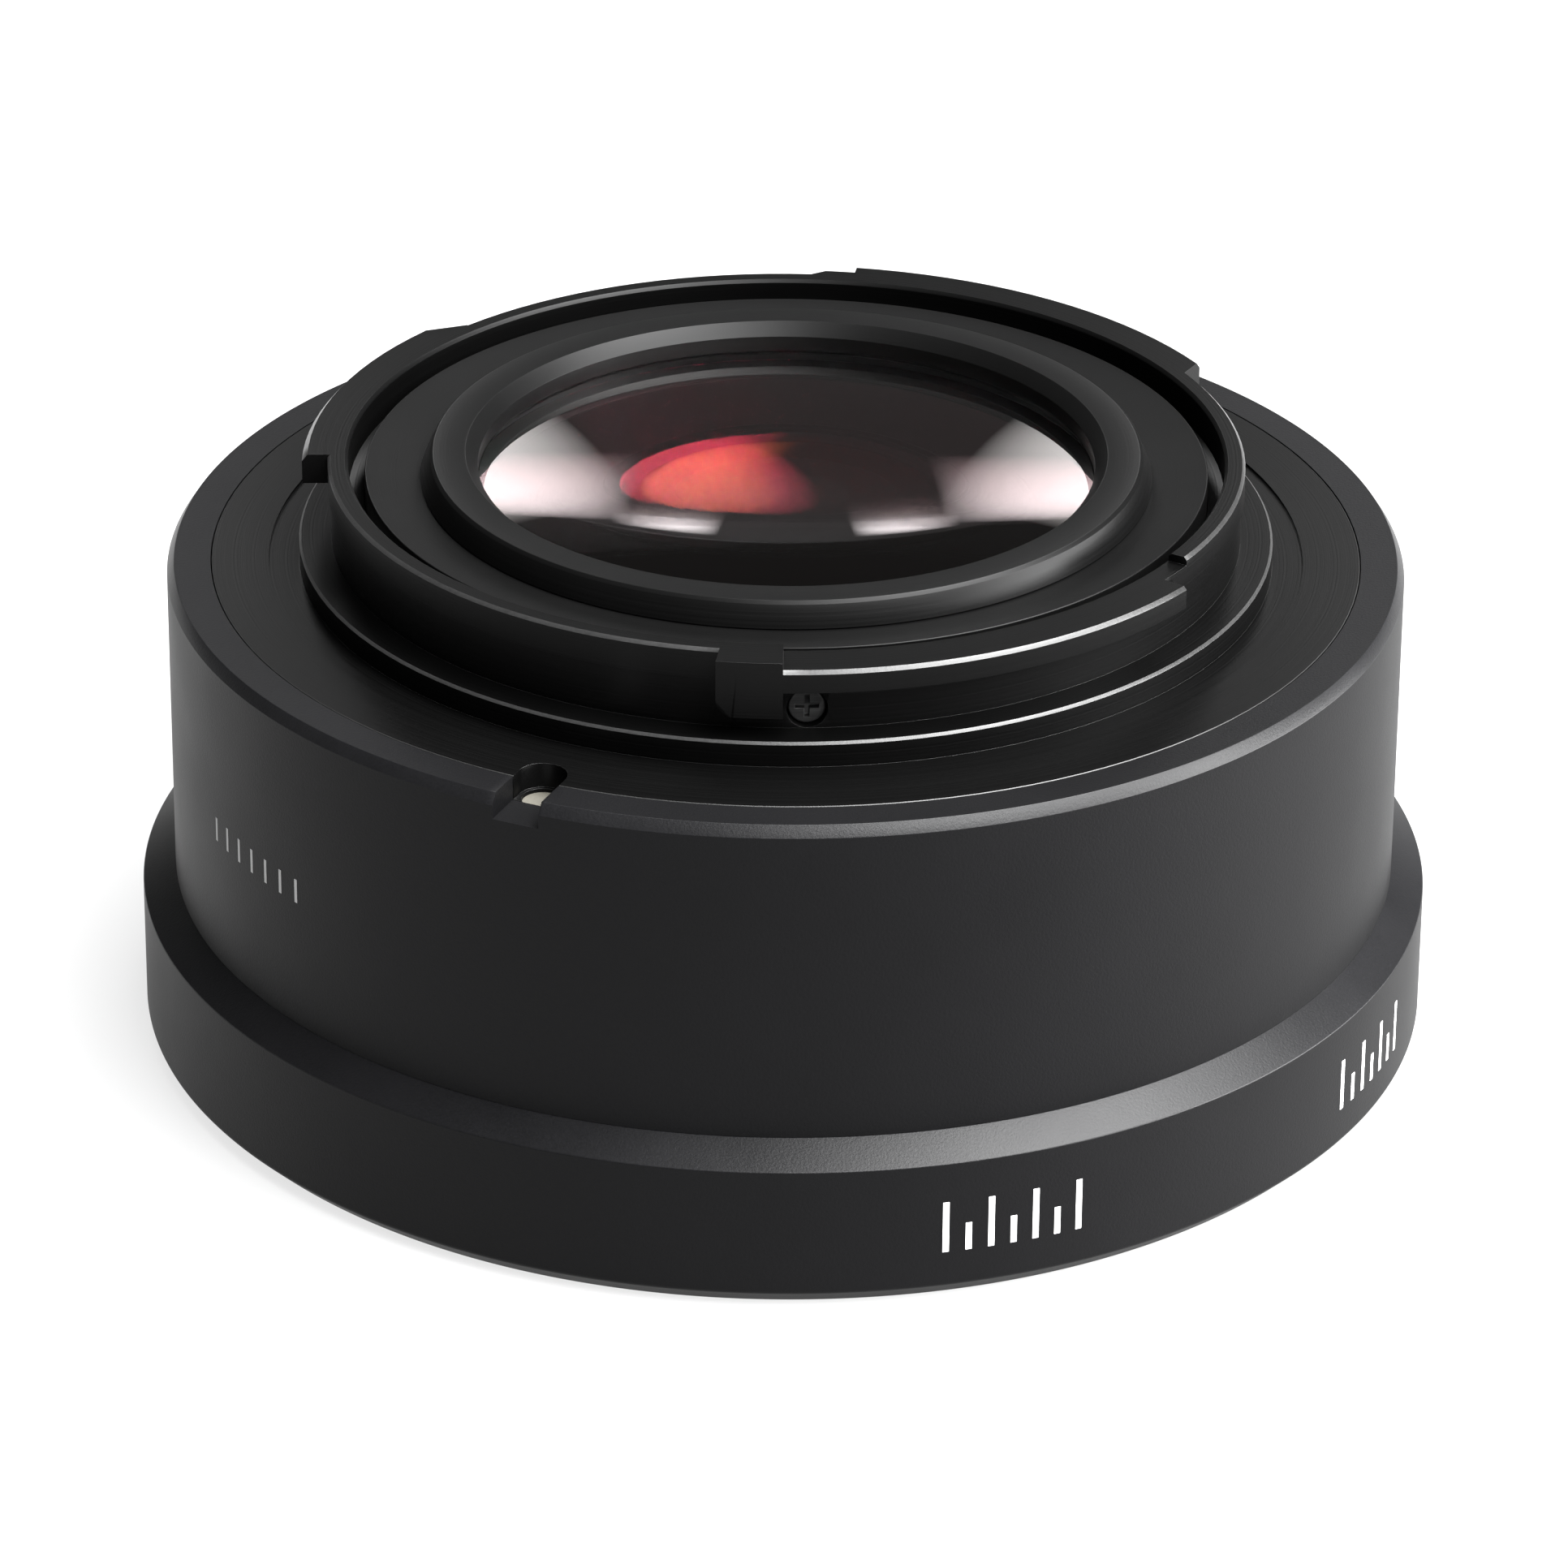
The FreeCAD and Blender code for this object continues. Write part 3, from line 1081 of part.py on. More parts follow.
def write_parts():
    """Write each piece to its own file."""
    os.makedirs("parts", exist_ok=True)
    for feature in NODES:
        feature.Shape.exportStep(f"parts/{feature.Label}.step")
        box = feature.Shape.BoundBox
        print(f"{feature.Label}: {len(feature.Shape.Solids)} solids, {feature.Shape.Volume:.1f} mm3,"
              f" z {box.ZMin:.2f} to {box.ZMax:.2f}")


fill_sheet()
make_lens_ring()
make_barrel()
make_camera_bayonet()
make_lock_screw()
make_optical_barrel()
make_rear_cell()
make_glasses()
make_rings()
make_lens_plate()
make_screws()
make_leaf_springs()
make_release()
document.recompute()
check_document()
write_parts()
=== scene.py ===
import math

import bmesh
import bpy
from mathutils import Matrix, Vector


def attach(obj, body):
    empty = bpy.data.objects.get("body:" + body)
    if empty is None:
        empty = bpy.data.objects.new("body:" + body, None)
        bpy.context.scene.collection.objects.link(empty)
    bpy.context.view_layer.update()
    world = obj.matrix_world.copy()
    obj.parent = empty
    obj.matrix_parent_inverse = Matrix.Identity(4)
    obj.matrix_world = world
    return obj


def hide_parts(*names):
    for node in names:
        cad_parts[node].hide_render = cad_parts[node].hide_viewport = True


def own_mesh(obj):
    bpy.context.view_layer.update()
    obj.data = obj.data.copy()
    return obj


# Focal reducer, dressed over its CAD frame. Lengths are given in millimetres and turned
# into metres where they enter Blender; angles are degrees about +Z, counted from +X.
MM = 0.001
PATH_RADIUS = 20.0      # circle that outlines are spun along; any radius serves
SEGMENTS = 384          # sides of the large turned pieces
GLASS_SEGMENTS = 256
WELD = 0.0000002        # metres; points nearer than this are one
NOISE_MEAN = 0.5        # value that a noise texture varies about

BARREL = 29.7           # barrel's outside
RING = 31.3             # lens-side ring's outside
FLANGE = 24.0           # camera flange face
TAIL = 24.0             # bore for the lens's tail
WEB_BACK, WEB_TOP = 2.8, 4.2
RING_TOP = 8.15
LUG_TOP = 28.6          # top of the front lug
LUG_CHAMFER = 0.17

RELEASE = 50.0          # direction of the lens lock's release
PIN_CIRCLE = 26.3       # where its pin stands
SLOT_CIRCLE = 26.85     # inner end of the slot for the camera's pin
SLOT_AZIMUTH = -114.05
SLOT_WIDTH = 2.3
SLOT_FLOOR = 22.8
PLATE_SCREWS = (5, 26.5, 14.0, 72.0)    # count, circle, first and step
DECK_SCREWS = (4, 24.3, 20.0, 90.0)

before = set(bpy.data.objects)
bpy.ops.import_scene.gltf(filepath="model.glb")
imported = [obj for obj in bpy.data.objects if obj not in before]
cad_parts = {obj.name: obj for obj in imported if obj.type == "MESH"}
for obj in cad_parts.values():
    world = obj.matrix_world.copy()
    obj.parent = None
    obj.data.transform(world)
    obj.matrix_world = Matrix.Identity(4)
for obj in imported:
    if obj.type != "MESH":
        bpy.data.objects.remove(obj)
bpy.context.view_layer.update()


# Node helpers

def new_tree(name, kind, inputs, outputs):
    """A node group with named sockets, and its input and output nodes."""
    tree = bpy.data.node_groups.new(name, kind)
    for label, socket, value in inputs:
        made = tree.interface.new_socket(label, in_out="INPUT", socket_type=socket)
        if value is not None:
            made.default_value = value
    for label, socket in outputs:
        tree.interface.new_socket(label, in_out="OUTPUT", socket_type=socket)
    return tree, tree.nodes.new("NodeGroupInput"), tree.nodes.new("NodeGroupOutput")


def add(tree, kind, links=None, **settings):
    """A node with its settings and its inputs, each a value or another node's socket."""
    made = tree.nodes.new(kind)
    for key, value in settings.items():
        setattr(made, key, value)
    for key, value in (links or {}).items():
        socket = made.inputs[key]
        if isinstance(value, bpy.types.NodeSocket):
            tree.links.new(value, socket)
        else:
            socket.default_value = value
    return made


def maths(tree, operation, a, b=0.0, clamp=False):
    """One arithmetic step, with its result held to 0..1 if clamped."""
    made = add(tree, "ShaderNodeMath", {0: a, 1: b}, operation=operation)
    made.use_clamp = clamp
    return made.outputs[0]


# Shader groups shared by the finishes

SKIN_OUTPUTS = [("Color", "NodeSocketColor"), ("Roughness", "NodeSocketFloat"),
                ("Normal", "NodeSocketVector")]


def blast_grain_group():
    """Fine grain of a bead-blasted skin: tone, roughness and normal."""
    fine_share, contrast, rough_spread = 0.6, 4.0, 0.12
    tree, gin, gout = new_tree("Blast grain", "ShaderNodeTree", [
        ("Grain", "NodeSocketFloat", 9000.0),
        ("Depth", "NodeSocketFloat", 0.35),
        ("Tone", "NodeSocketFloat", 0.25),
        ("Dark", "NodeSocketColor", (0.01, 0.01, 0.01, 1)),
        ("Light", "NodeSocketColor", (0.03, 0.03, 0.03, 1)),
        ("Rough", "NodeSocketFloat", 0.5),
    ], SKIN_OUTPUTS)
    place = add(tree, "ShaderNodeTexCoord").outputs["Object"]
    grain = add(tree, "ShaderNodeTexNoise", {
        "Vector": place, "Scale": gin.outputs["Grain"], "Detail": 3.0, "Roughness": 0.65})
    cloud = add(tree, "ShaderNodeTexNoise", {"Vector": place, "Scale": 140.0, "Detail": 4.0})
    mixed = maths(tree, "ADD", maths(tree, "MULTIPLY", grain.outputs["Fac"], fine_share),
                  maths(tree, "MULTIPLY", cloud.outputs["Fac"], 1.0 - fine_share))
    spread = maths(tree, "MULTIPLY", maths(tree, "SUBTRACT", mixed, NOISE_MEAN),
                   gin.outputs["Tone"])
    tone = maths(tree, "ADD", maths(tree, "MULTIPLY", spread, contrast), NOISE_MEAN, clamp=True)
    colour = add(tree, "ShaderNodeMix", {
        "Factor": tone, 6: gin.outputs["Dark"], 7: gin.outputs["Light"]}, data_type="RGBA")
    shift = maths(tree, "MULTIPLY", maths(tree, "SUBTRACT", cloud.outputs["Fac"], NOISE_MEAN),
                  rough_spread)
    rough = maths(tree, "ADD", gin.outputs["Rough"], shift)
    bump = add(tree, "ShaderNodeBump", {
        "Strength": gin.outputs["Depth"], "Distance": 0.00002, "Height": grain.outputs["Fac"]})
    tree.links.new(colour.outputs[2], gout.inputs["Color"])
    tree.links.new(rough, gout.inputs["Roughness"])
    tree.links.new(bump.outputs["Normal"], gout.inputs["Normal"])
    return tree


def turning_group():
    """Fine rings left by a lathe, on faces and walls alike."""
    lift, rough_spread, speck_share = 0.4, 0.16, 0.5
    tree, gin, gout = new_tree("Turning marks", "ShaderNodeTree", [
        ("Pitch", "NodeSocketFloat", 0.00008),
        ("Depth", "NodeSocketFloat", 0.2),
        ("Dark", "NodeSocketColor", (0.01, 0.01, 0.01, 1)),
        ("Light", "NodeSocketColor", (0.03, 0.03, 0.03, 1)),
        ("Rough", "NodeSocketFloat", 0.4),
    ], SKIN_OUTPUTS)
    place = add(tree, "ShaderNodeTexCoord").outputs["Object"]
    split = add(tree, "ShaderNodeSeparateXYZ", {0: place})
    flat = add(tree, "ShaderNodeCombineXYZ", {0: split.outputs[0], 1: split.outputs[1]})
    radius = add(tree, "ShaderNodeVectorMath", {0: flat.outputs[0]}, operation="LENGTH")
    along = maths(tree, "ADD", radius.outputs["Value"], split.outputs[2])
    turns = maths(tree, "DIVIDE", along, gin.outputs["Pitch"])
    lines = add(tree, "ShaderNodeTexNoise", {"W": turns, "Scale": 1.0, "Detail": 2.0},
                noise_dimensions="1D")
    cloud = add(tree, "ShaderNodeTexNoise", {"Vector": place, "Scale": 260.0, "Detail": 3.0})
    speck = add(tree, "ShaderNodeTexNoise", {"Vector": place, "Scale": 12000.0, "Detail": 1.0})
    tone = maths(tree, "MULTIPLY", lines.outputs["Fac"],
                 maths(tree, "ADD", cloud.outputs["Fac"], lift), clamp=True)
    colour = add(tree, "ShaderNodeMix", {
        "Factor": tone, 6: gin.outputs["Dark"], 7: gin.outputs["Light"]}, data_type="RGBA")
    shift = maths(tree, "MULTIPLY", maths(tree, "SUBTRACT", lines.outputs["Fac"], NOISE_MEAN),
                  rough_spread)
    rough = maths(tree, "ADD", gin.outputs["Rough"], shift)
    height = maths(tree, "ADD", lines.outputs["Fac"],
                   maths(tree, "MULTIPLY", speck.outputs["Fac"], speck_share))
    bump = add(tree, "ShaderNodeBump", {
        "Strength": gin.outputs["Depth"], "Distance": 0.00001, "Height": height})
    tree.links.new(colour.outputs[2], gout.inputs["Color"])
    tree.links.new(rough, gout.inputs["Roughness"])
    tree.links.new(bump.outputs["Normal"], gout.inputs["Normal"])
    return tree


def dust_group():
    """Faint dust on polished glass: a whitish veil, rough where it lies."""
    sparseness, strength = 0.72, 0.3
    tree, gin, gout = new_tree("Glass dust", "ShaderNodeTree", [
        ("Scale", "NodeSocketFloat", 2600.0),
        ("Clear", "NodeSocketColor", (1.0, 1.0, 1.0, 1.0)),
        ("Dust", "NodeSocketColor", (0.8, 0.8, 0.8, 1.0)),
    ], SKIN_OUTPUTS[:2])
    place = add(tree, "ShaderNodeTexCoord").outputs["Object"]
    dust = add(tree, "ShaderNodeTexNoise", {
        "Vector": place, "Scale": gin.outputs["Scale"], "Detail": 2.0})
    fine = maths(tree, "MULTIPLY", maths(tree, "SUBTRACT", dust.outputs["Fac"], sparseness),
                 strength, clamp=True)
    shade = add(tree, "ShaderNodeMix", {
        "Factor": fine, 6: gin.outputs["Clear"], 7: gin.outputs["Dust"]}, data_type="RGBA")
    tree.links.new(shade.outputs[2], gout.inputs["Color"])
    tree.links.new(fine, gout.inputs["Roughness"])
    return tree


GRAIN = blast_grain_group()
TURNING = turning_group()
DUST = dust_group()


def finish_with(name, group, values, **shader):
    """A finish: one group feeding a Principled shader, with plain values on its sockets."""
    material = bpy.data.materials.new(name)
    material.use_nodes = True
    tree = material.node_tree
    surface = tree.nodes["Principled BSDF"]
    for key, value in shader.items():
        surface.inputs[key.replace("_", " ")].default_value = value
    placed = tree.nodes.new("ShaderNodeGroup")
    placed.node_tree = group
    for key, value in values.items():
        placed.inputs[key].default_value = value
    for output in placed.outputs:
        target = "Base Color" if output.name == "Color" else output.name
        tree.links.new(output, surface.inputs[target])
    return material


def grey(value, blue=1.0):
    """A near-neutral colour."""
    return (value, value, value * blue, 1.0)


BLASTED_BLACK = finish_with("bead blasted black anodise", GRAIN, {
    "Grain": 8000.0, "Depth": 0.5, "Tone": 0.3,
    "Dark": grey(0.001, 1.15), "Light": grey(0.003, 1.15), "Rough": 0.46}, Specular_IOR_Level=0.1)
CUT_BLACK = finish_with("cut bevel, black anodise", GRAIN, {
    "Grain": 8000.0, "Depth": 0.5, "Tone": 0.4,
    "Dark": grey(0.002, 1.1), "Light": grey(0.008, 1.1), "Rough": 0.34}, Specular_IOR_Level=0.17)
EDGE_BLACK = finish_with("broken edge, worn bright", GRAIN, {
    "Grain": 7000.0, "Depth": 0.4, "Tone": 0.5,
    "Dark": grey(0.008), "Light": grey(0.025), "Rough": 0.3}, Specular_IOR_Level=0.45)
# Painted light: the floor of the pin slot's well gets this lighter colour, a painted patch of
# light falling into the slot
WELL_PAINTED_LIGHT = finish_with("bare well of the pin slot", GRAIN, {
    "Grain": 6000.0, "Depth": 0.3, "Tone": 0.4,
    "Dark": (0.06, 0.056, 0.045, 1), "Light": (0.1, 0.095, 0.08, 1), "Rough": 0.5},
    Specular_IOR_Level=0.3)
TURNED_BLACK = finish_with("satin black anodise, turned", TURNING, {
    "Pitch": 0.00009, "Depth": 0.2, "Dark": grey(0.0004), "Light": grey(0.0015), "Rough": 0.33},
    Specular_IOR_Level=0.1)
CELL_BLACK = finish_with("rear cell anodise", TURNING, {
    "Pitch": 0.00006, "Depth": 0.2, "Dark": grey(0.001), "Light": grey(0.003), "Rough": 0.36},
    Specular_IOR_Level=0.11)
MATT_BLACK = finish_with("matt black, inside", GRAIN, {
    "Grain": 5000.0, "Depth": 0.4, "Tone": 0.3,
    "Dark": grey(0.001), "Light": grey(0.003), "Rough": 0.7}, Specular_IOR_Level=0.1)
CHROME = finish_with("satin chrome plate", TURNING, {
    "Pitch": 0.00012, "Depth": 0.12, "Dark": grey(0.55), "Light": grey(0.72), "Rough": 0.24},
    Metallic=1.0)
SCREW_BLACK = finish_with("blackened screw", TURNING, {
    "Pitch": 0.0001, "Depth": 0.2, "Dark": grey(0.01), "Light": grey(0.03), "Rough": 0.34},
    Metallic=0.5)
SCREW_STEEL = finish_with("plated screw", TURNING, {
    "Pitch": 0.0001, "Depth": 0.15, "Dark": grey(0.4), "Light": grey(0.6), "Rough": 0.28},
    Metallic=1.0)
SPRING_STEEL = finish_with("spring steel", GRAIN, {
    "Grain": 9000.0, "Depth": 0.1, "Tone": 0.3,
    "Dark": grey(0.35), "Light": grey(0.55), "Rough": 0.3}, Metallic=1.0)
PIN_STEEL = finish_with("ground pin", TURNING, {
    "Pitch": 0.00007, "Depth": 0.1, "Dark": grey(0.5), "Light": grey(0.68), "Rough": 0.2},
    Metallic=1.0)
MARK_PAINT = finish_with("white mark paint", GRAIN, {
    "Grain": 7000.0, "Depth": 0.2, "Tone": 0.3,
    "Dark": grey(0.62), "Light": grey(0.8), "Rough": 0.5})
GREY_PAINT = finish_with("grey mark paint", GRAIN, {
    "Grain": 7000.0, "Depth": 0.2, "Tone": 0.3,
    "Dark": grey(0.22), "Light": grey(0.32), "Rough": 0.5})


def glass_finish(name, tint, index):
    """Polished glass with a coating: clear, with a coloured reflection."""
    return finish_with(name, DUST, {}, Transmission_Weight=1.0, IOR=index, Specular_Tint=tint)


REAR_COAT = glass_finish("rear glass, coated", (1.0, 0.85, 0.8, 1), 1.6)
THIRD_COAT = glass_finish("third glass, coated", (1.0, 0.03, 0.08, 1), 1.65)
SECOND_COAT = glass_finish("second glass, coated", (1.0, 0.12, 0.04, 1), 1.65)
FRONT_COAT = glass_finish("front glass, coated", (1.0, 0.5, 0.25, 1), 1.7)
REAR_INNER = glass_finish("rear glass, inner coat", (1.0, 0.03, 0.1, 1), 1.6)


# Geometry trees

def turned_tree():
    """Spins an outline round the axis, with every corner rounded by its own radius."""
    tree, gin, gout = new_tree("Turned piece", "GeometryNodeTree", [
        ("Outline", "NodeSocketGeometry", None),
        ("Segments", "NodeSocketInt", SEGMENTS),
        ("Corner Steps", "NodeSocketInt", 3),
        ("Path Radius", "NodeSocketFloat", PATH_RADIUS * MM),
        ("Finish", "NodeSocketMaterial", None),
    ], [("Geometry", "NodeSocketGeometry")])
    corner = add(tree, "GeometryNodeInputRadius")
    rounded = add(tree, "GeometryNodeFilletCurve", {
        "Curve": gin.outputs["Outline"], "Count": gin.outputs["Corner Steps"],
        "Radius": corner.outputs[0], "Limit Radius": True}, mode="POLY")
    path = add(tree, "GeometryNodeCurvePrimitiveCircle", {
        "Resolution": gin.outputs["Segments"], "Radius": gin.outputs["Path Radius"]})
    spun = add(tree, "GeometryNodeCurveToMesh", {
        "Curve": path.outputs["Curve"], "Profile Curve": rounded.outputs[0]})
    closed = add(tree, "GeometryNodeMergeByDistance", {
        "Geometry": spun.outputs[0], "Distance": WELD})
    smooth = add(tree, "GeometryNodeSetShadeSmooth", {"Geometry": closed.outputs[0]})
    real = add(tree, "GeometryNodeRealizeInstances", {"Geometry": smooth.outputs[0]})
    named = add(tree, "GeometryNodeSetMaterial", {
        "Geometry": real.outputs[0], "Material": gin.outputs["Finish"]})
    tree.links.new(named.outputs[0], gout.inputs[0])
    return tree


def around_tree():
    """Sets copies of a small piece evenly on a circle or an arc, turned with it."""
    tree, gin, gout = new_tree("Set around the axis", "GeometryNodeTree", [
        ("Piece", "NodeSocketGeometry", None),
        ("Count", "NodeSocketInt", 4),
        ("Circle", "NodeSocketFloat", 0.02),
        ("Height", "NodeSocketFloat", 0.0),
        ("First", "NodeSocketFloat", 0.0),
        ("Step", "NodeSocketFloat", 0.0),
        ("Finish", "NodeSocketMaterial", None),
    ], [("Geometry", "NodeSocketGeometry")])
    points = add(tree, "GeometryNodePoints", {"Count": gin.outputs["Count"]})
    index = add(tree, "GeometryNodeInputIndex").outputs[0]
    angle = maths(tree, "ADD", gin.outputs["First"],
                  maths(tree, "MULTIPLY", index, gin.outputs["Step"]))
    spot = add(tree, "ShaderNodeCombineXYZ", {
        0: maths(tree, "MULTIPLY", maths(tree, "COSINE", angle), gin.outputs["Circle"]),
        1: maths(tree, "MULTIPLY", maths(tree, "SINE", angle), gin.outputs["Circle"]),
        2: gin.outputs["Height"]})
    set_out = add(tree, "GeometryNodeSetPosition", {
        "Geometry": points.outputs[0], "Position": spot.outputs[0]})
    turn = add(tree, "ShaderNodeCombineXYZ", {2: angle})
    copies = add(tree, "GeometryNodeInstanceOnPoints", {
        "Points": set_out.outputs[0], "Instance": gin.outputs["Piece"],
        "Rotation": turn.outputs[0]})
    real = add(tree, "GeometryNodeRealizeInstances", {"Geometry": copies.outputs[0]})
    named = add(tree, "GeometryNodeSetMaterial", {
        "Geometry": real.outputs[0], "Material": gin.outputs["Finish"]})
    tree.links.new(named.outputs[0], gout.inputs[0])
    return tree


def spring_tree():
    """Winds a round wire about an upright axis."""
    tree, gin, gout = new_tree("Wound spring", "GeometryNodeTree", [
        ("Turns", "NodeSocketFloat", 4.0),
        ("Mean Radius", "NodeSocketFloat", 0.001),
        ("Rise", "NodeSocketFloat", 0.003),
        ("Wire Radius", "NodeSocketFloat", 0.0001),
        ("Foot", "NodeSocketVector", None),
        ("Finish", "NodeSocketMaterial", None),
    ], [("Geometry", "NodeSocketGeometry")])
    coil = add(tree, "GeometryNodeCurveSpiral", {
        "Resolution": 32, "Rotations": gin.outputs["Turns"], "Height": gin.outputs["Rise"],
        "Start Radius": gin.outputs["Mean Radius"], "End Radius": gin.outputs["Mean Radius"]})
    placed = add(tree, "GeometryNodeSetPosition", {
        "Geometry": coil.outputs[0], "Offset": gin.outputs["Foot"]})
    section = add(tree, "GeometryNodeCurvePrimitiveCircle", {
        "Resolution": 12, "Radius": gin.outputs["Wire Radius"]})
    wound = add(tree, "GeometryNodeCurveToMesh", {
        "Curve": placed.outputs[0], "Profile Curve": section.outputs["Curve"], "Fill Caps": True})
    smooth = add(tree, "GeometryNodeSetShadeSmooth", {"Geometry": wound.outputs[0]})
    real = add(tree, "GeometryNodeRealizeInstances", {"Geometry": smooth.outputs[0]})
    named = add(tree, "GeometryNodeSetMaterial", {
        "Geometry": real.outputs[0], "Material": gin.outputs["Finish"]})
    tree.links.new(named.outputs[0], gout.inputs[0])
    return tree


TURNED = turned_tree()
AROUND = around_tree()
SPRING = spring_tree()


# Making and finishing pieces

def link(obj):
    """Put an object in the scene."""
    bpy.context.scene.collection.objects.link(obj)
    return obj


def with_tree(obj, tree, **values):
    """Give an object a geometry tree, its inputs set by identifier."""
    modifier = obj.modifiers.new(tree.name, "NODES")
    modifier.node_group = tree
    for item in tree.interface.items_tree:
        if item.item_type == "SOCKET" and item.in_out == "INPUT" and item.name in values:
            modifier[item.identifier] = values[item.name]


def settled(obj, name, tools=()):
    """The evaluated object as a plain mesh piece; its source and its cutters go."""
    graph = bpy.context.evaluated_depsgraph_get()
    mesh = bpy.data.meshes.new_from_object(obj.evaluated_get(graph), depsgraph=graph)
    piece = link(bpy.data.objects.new(name, mesh))
    for used in (obj, *tools):
        bpy.data.objects.remove(used)
    mesh.name = name
    return piece


def outline_curve(name, corners):
    """An outline of (radius, height, corner radius) as a closed curve beside the path."""
    curve = bpy.data.curves.new(name, "CURVE")
    curve.dimensions = "3D"
    spline = curve.splines.new("POLY")
    spline.points.add(len(corners) - 1)
    for point, (radius, height, corner) in zip(spline.points, corners):
        point.co = ((radius - PATH_RADIUS) * MM, -height * MM, 0.0, 1.0)
        point.radius = corner * MM
    spline.use_cyclic_u = True
    return link(bpy.data.objects.new(name, curve))


def cutter_from(name, fill):
    """A plain solid built by a bmesh function: a cutter, a filler or one tick."""
    mesh = bpy.data.meshes.new(name)
    work = bmesh.new()
    fill(work)
    bmesh.ops.recalc_face_normals(work, faces=work.faces)
    work.to_mesh(mesh)
    work.free()
    return link(bpy.data.objects.new(name, mesh))


def on_circle(circle, azimuth):
    """The place in metres of a point on a circle about the axis."""
    turn = math.radians(azimuth)
    return circle * math.cos(turn) * MM, circle * math.sin(turn) * MM


def box_cutter(name, start, length, width, bottom, height, azimuth):
    """A box along a radius."""
    def fill(work):
        bmesh.ops.create_cube(work, size=1.0)
        shape = Matrix.Diagonal((length * MM, width * MM, height * MM, 1.0))
        shift = Matrix.Translation(((start + length / 2) * MM, 0, (bottom + height / 2) * MM))
        turn = Matrix.Rotation(math.radians(azimuth), 4, "Z")
        bmesh.ops.transform(work, matrix=turn @ shift @ shape, verts=work.verts)
    return cutter_from(name, fill)


def rod_cutter(name, radius, circle, azimuth, bottom, height):
    """An upright cylinder away from the axis."""
    def fill(work):
        bmesh.ops.create_cone(
            work, cap_ends=True, segments=48, radius1=radius * MM, radius2=radius * MM,
            depth=height * MM)
        spot = (*on_circle(circle, azimuth), (bottom + height / 2) * MM)
        bmesh.ops.translate(work, verts=work.verts, vec=spot)
    return cutter_from(name, fill)


def break_edges(piece, edge, sharp):
    """Round the edges that turn by more than an angle."""
    broken = piece.modifiers.new("broken edges", "BEVEL")
    broken.width = edge * MM
    broken.segments = 2
    broken.limit_method = "ANGLE"
    broken.angle_limit = math.radians(sharp)
    broken.use_clamp_overlap = True


def weight_normals(piece):
    """Let large faces set the shading, so flat faces look flat up to their edges."""
    weighted = piece.modifiers.new("weighted normals", "WEIGHTED_NORMAL")
    weighted.mode = "FACE_AREA"
    return weighted


def trimmed(piece, tools, edge):
    """Cut by tools, or join those named added, then break the new edges."""
    for tool in tools:
        cut = piece.modifiers.new(tool.name, "BOOLEAN")
        cut.operation = "UNION" if tool.name.startswith("added") else "DIFFERENCE"
        cut.solver = "EXACT"
        cut.object = tool
    if tools:
        break_edges(piece, edge, sharp=50)
    weight_normals(piece).keep_sharp = True


def turned(name, corners, finish, tools=(), segments=SEGMENTS, steps=3, edge=0.05):
    """A turned piece from its outline, with cuts; the outline may run either way."""
    area = sum(a[0] * b[1] - b[0] * a[1] for a, b in zip(corners, corners[1:] + corners[:1]))
    if area > 0:
        corners = corners[::-1]
    source = outline_curve(f"{name}_outline", corners)
    with_tree(source, TURNED, **{
        "Segments": segments, "Corner Steps": steps, "Path Radius": PATH_RADIUS * MM,
        "Finish": finish})
    piece = settled(source, f"{name}_blank" if tools else name)
    trimmed(piece, tools, edge)
    return settled(piece, name, tools)


def lug_rim(edge):
    """Whether an edge is the upper outer edge of the front lug."""
    inside, start, end, near = 23.1, -91.0, -36.0, 0.02
    return all(
        math.hypot(vert.co.x, vert.co.y) > inside * MM
        and abs(vert.co.z - LUG_TOP * MM) < near * MM
        and start < math.degrees(math.atan2(vert.co.y, vert.co.x)) < end
        for vert in edge.verts)


def dressed(node, name, finish, edge, rim=None):
    """A copy of a CAD node with its facets joined, a chamfer at its rim and broken edges."""
    flat = 0.4              # degrees between facets that make one face
    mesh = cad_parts[node].data.copy()
    work = bmesh.new()
    work.from_mesh(mesh)
    bmesh.ops.remove_doubles(work, verts=work.verts, dist=WELD)
    bmesh.ops.dissolve_limit(
        work, angle_limit=math.radians(flat), verts=work.verts, edges=work.edges)
    if rim:
        bmesh.ops.bevel(
            work, geom=[side for side in work.edges if rim(side)], offset=LUG_CHAMFER * MM,
            segments=1, affect="EDGES", clamp_overlap=True)
    for face in work.faces:
        face.smooth = True
    work.to_mesh(mesh)
    work.free()
    mesh.materials.clear()
    mesh.materials.append(finish)
    piece = link(bpy.data.objects.new(f"{name}_blank", mesh))
    break_edges(piece, edge, sharp=30)
    weight_normals(piece)
    return settled(piece, name)


def second_finish(piece, finish, chosen):
    """Give the faces that a test chooses another finish, and say which number it has."""
    piece.data.materials.append(finish)
    number = len(piece.data.materials) - 1
    for face in piece.data.polygons:
        if chosen(face):
            face.material_index = number
    return number


def cut_slope(face):
    """Whether a face slopes outward, as bevels do that were cut after the skin."""
    steep, flat = 0.2, 0.97
    outward = face.normal.x * face.center.x + face.normal.y * face.center.y
    return steep < face.normal.z < flat and outward > 0


def reach_of(face):
    """How far a face's centre lies from the axis, in millimetres."""
    return math.hypot(face.center.x, face.center.y) / MM


def settle_on(piece, body, slot, *nodes):
    """Hang a piece on the body it rides on and hide the CAD nodes it stands for; the finish slot
    is not used.
    """
    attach(piece, body)
    for node in nodes:
        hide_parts(node)


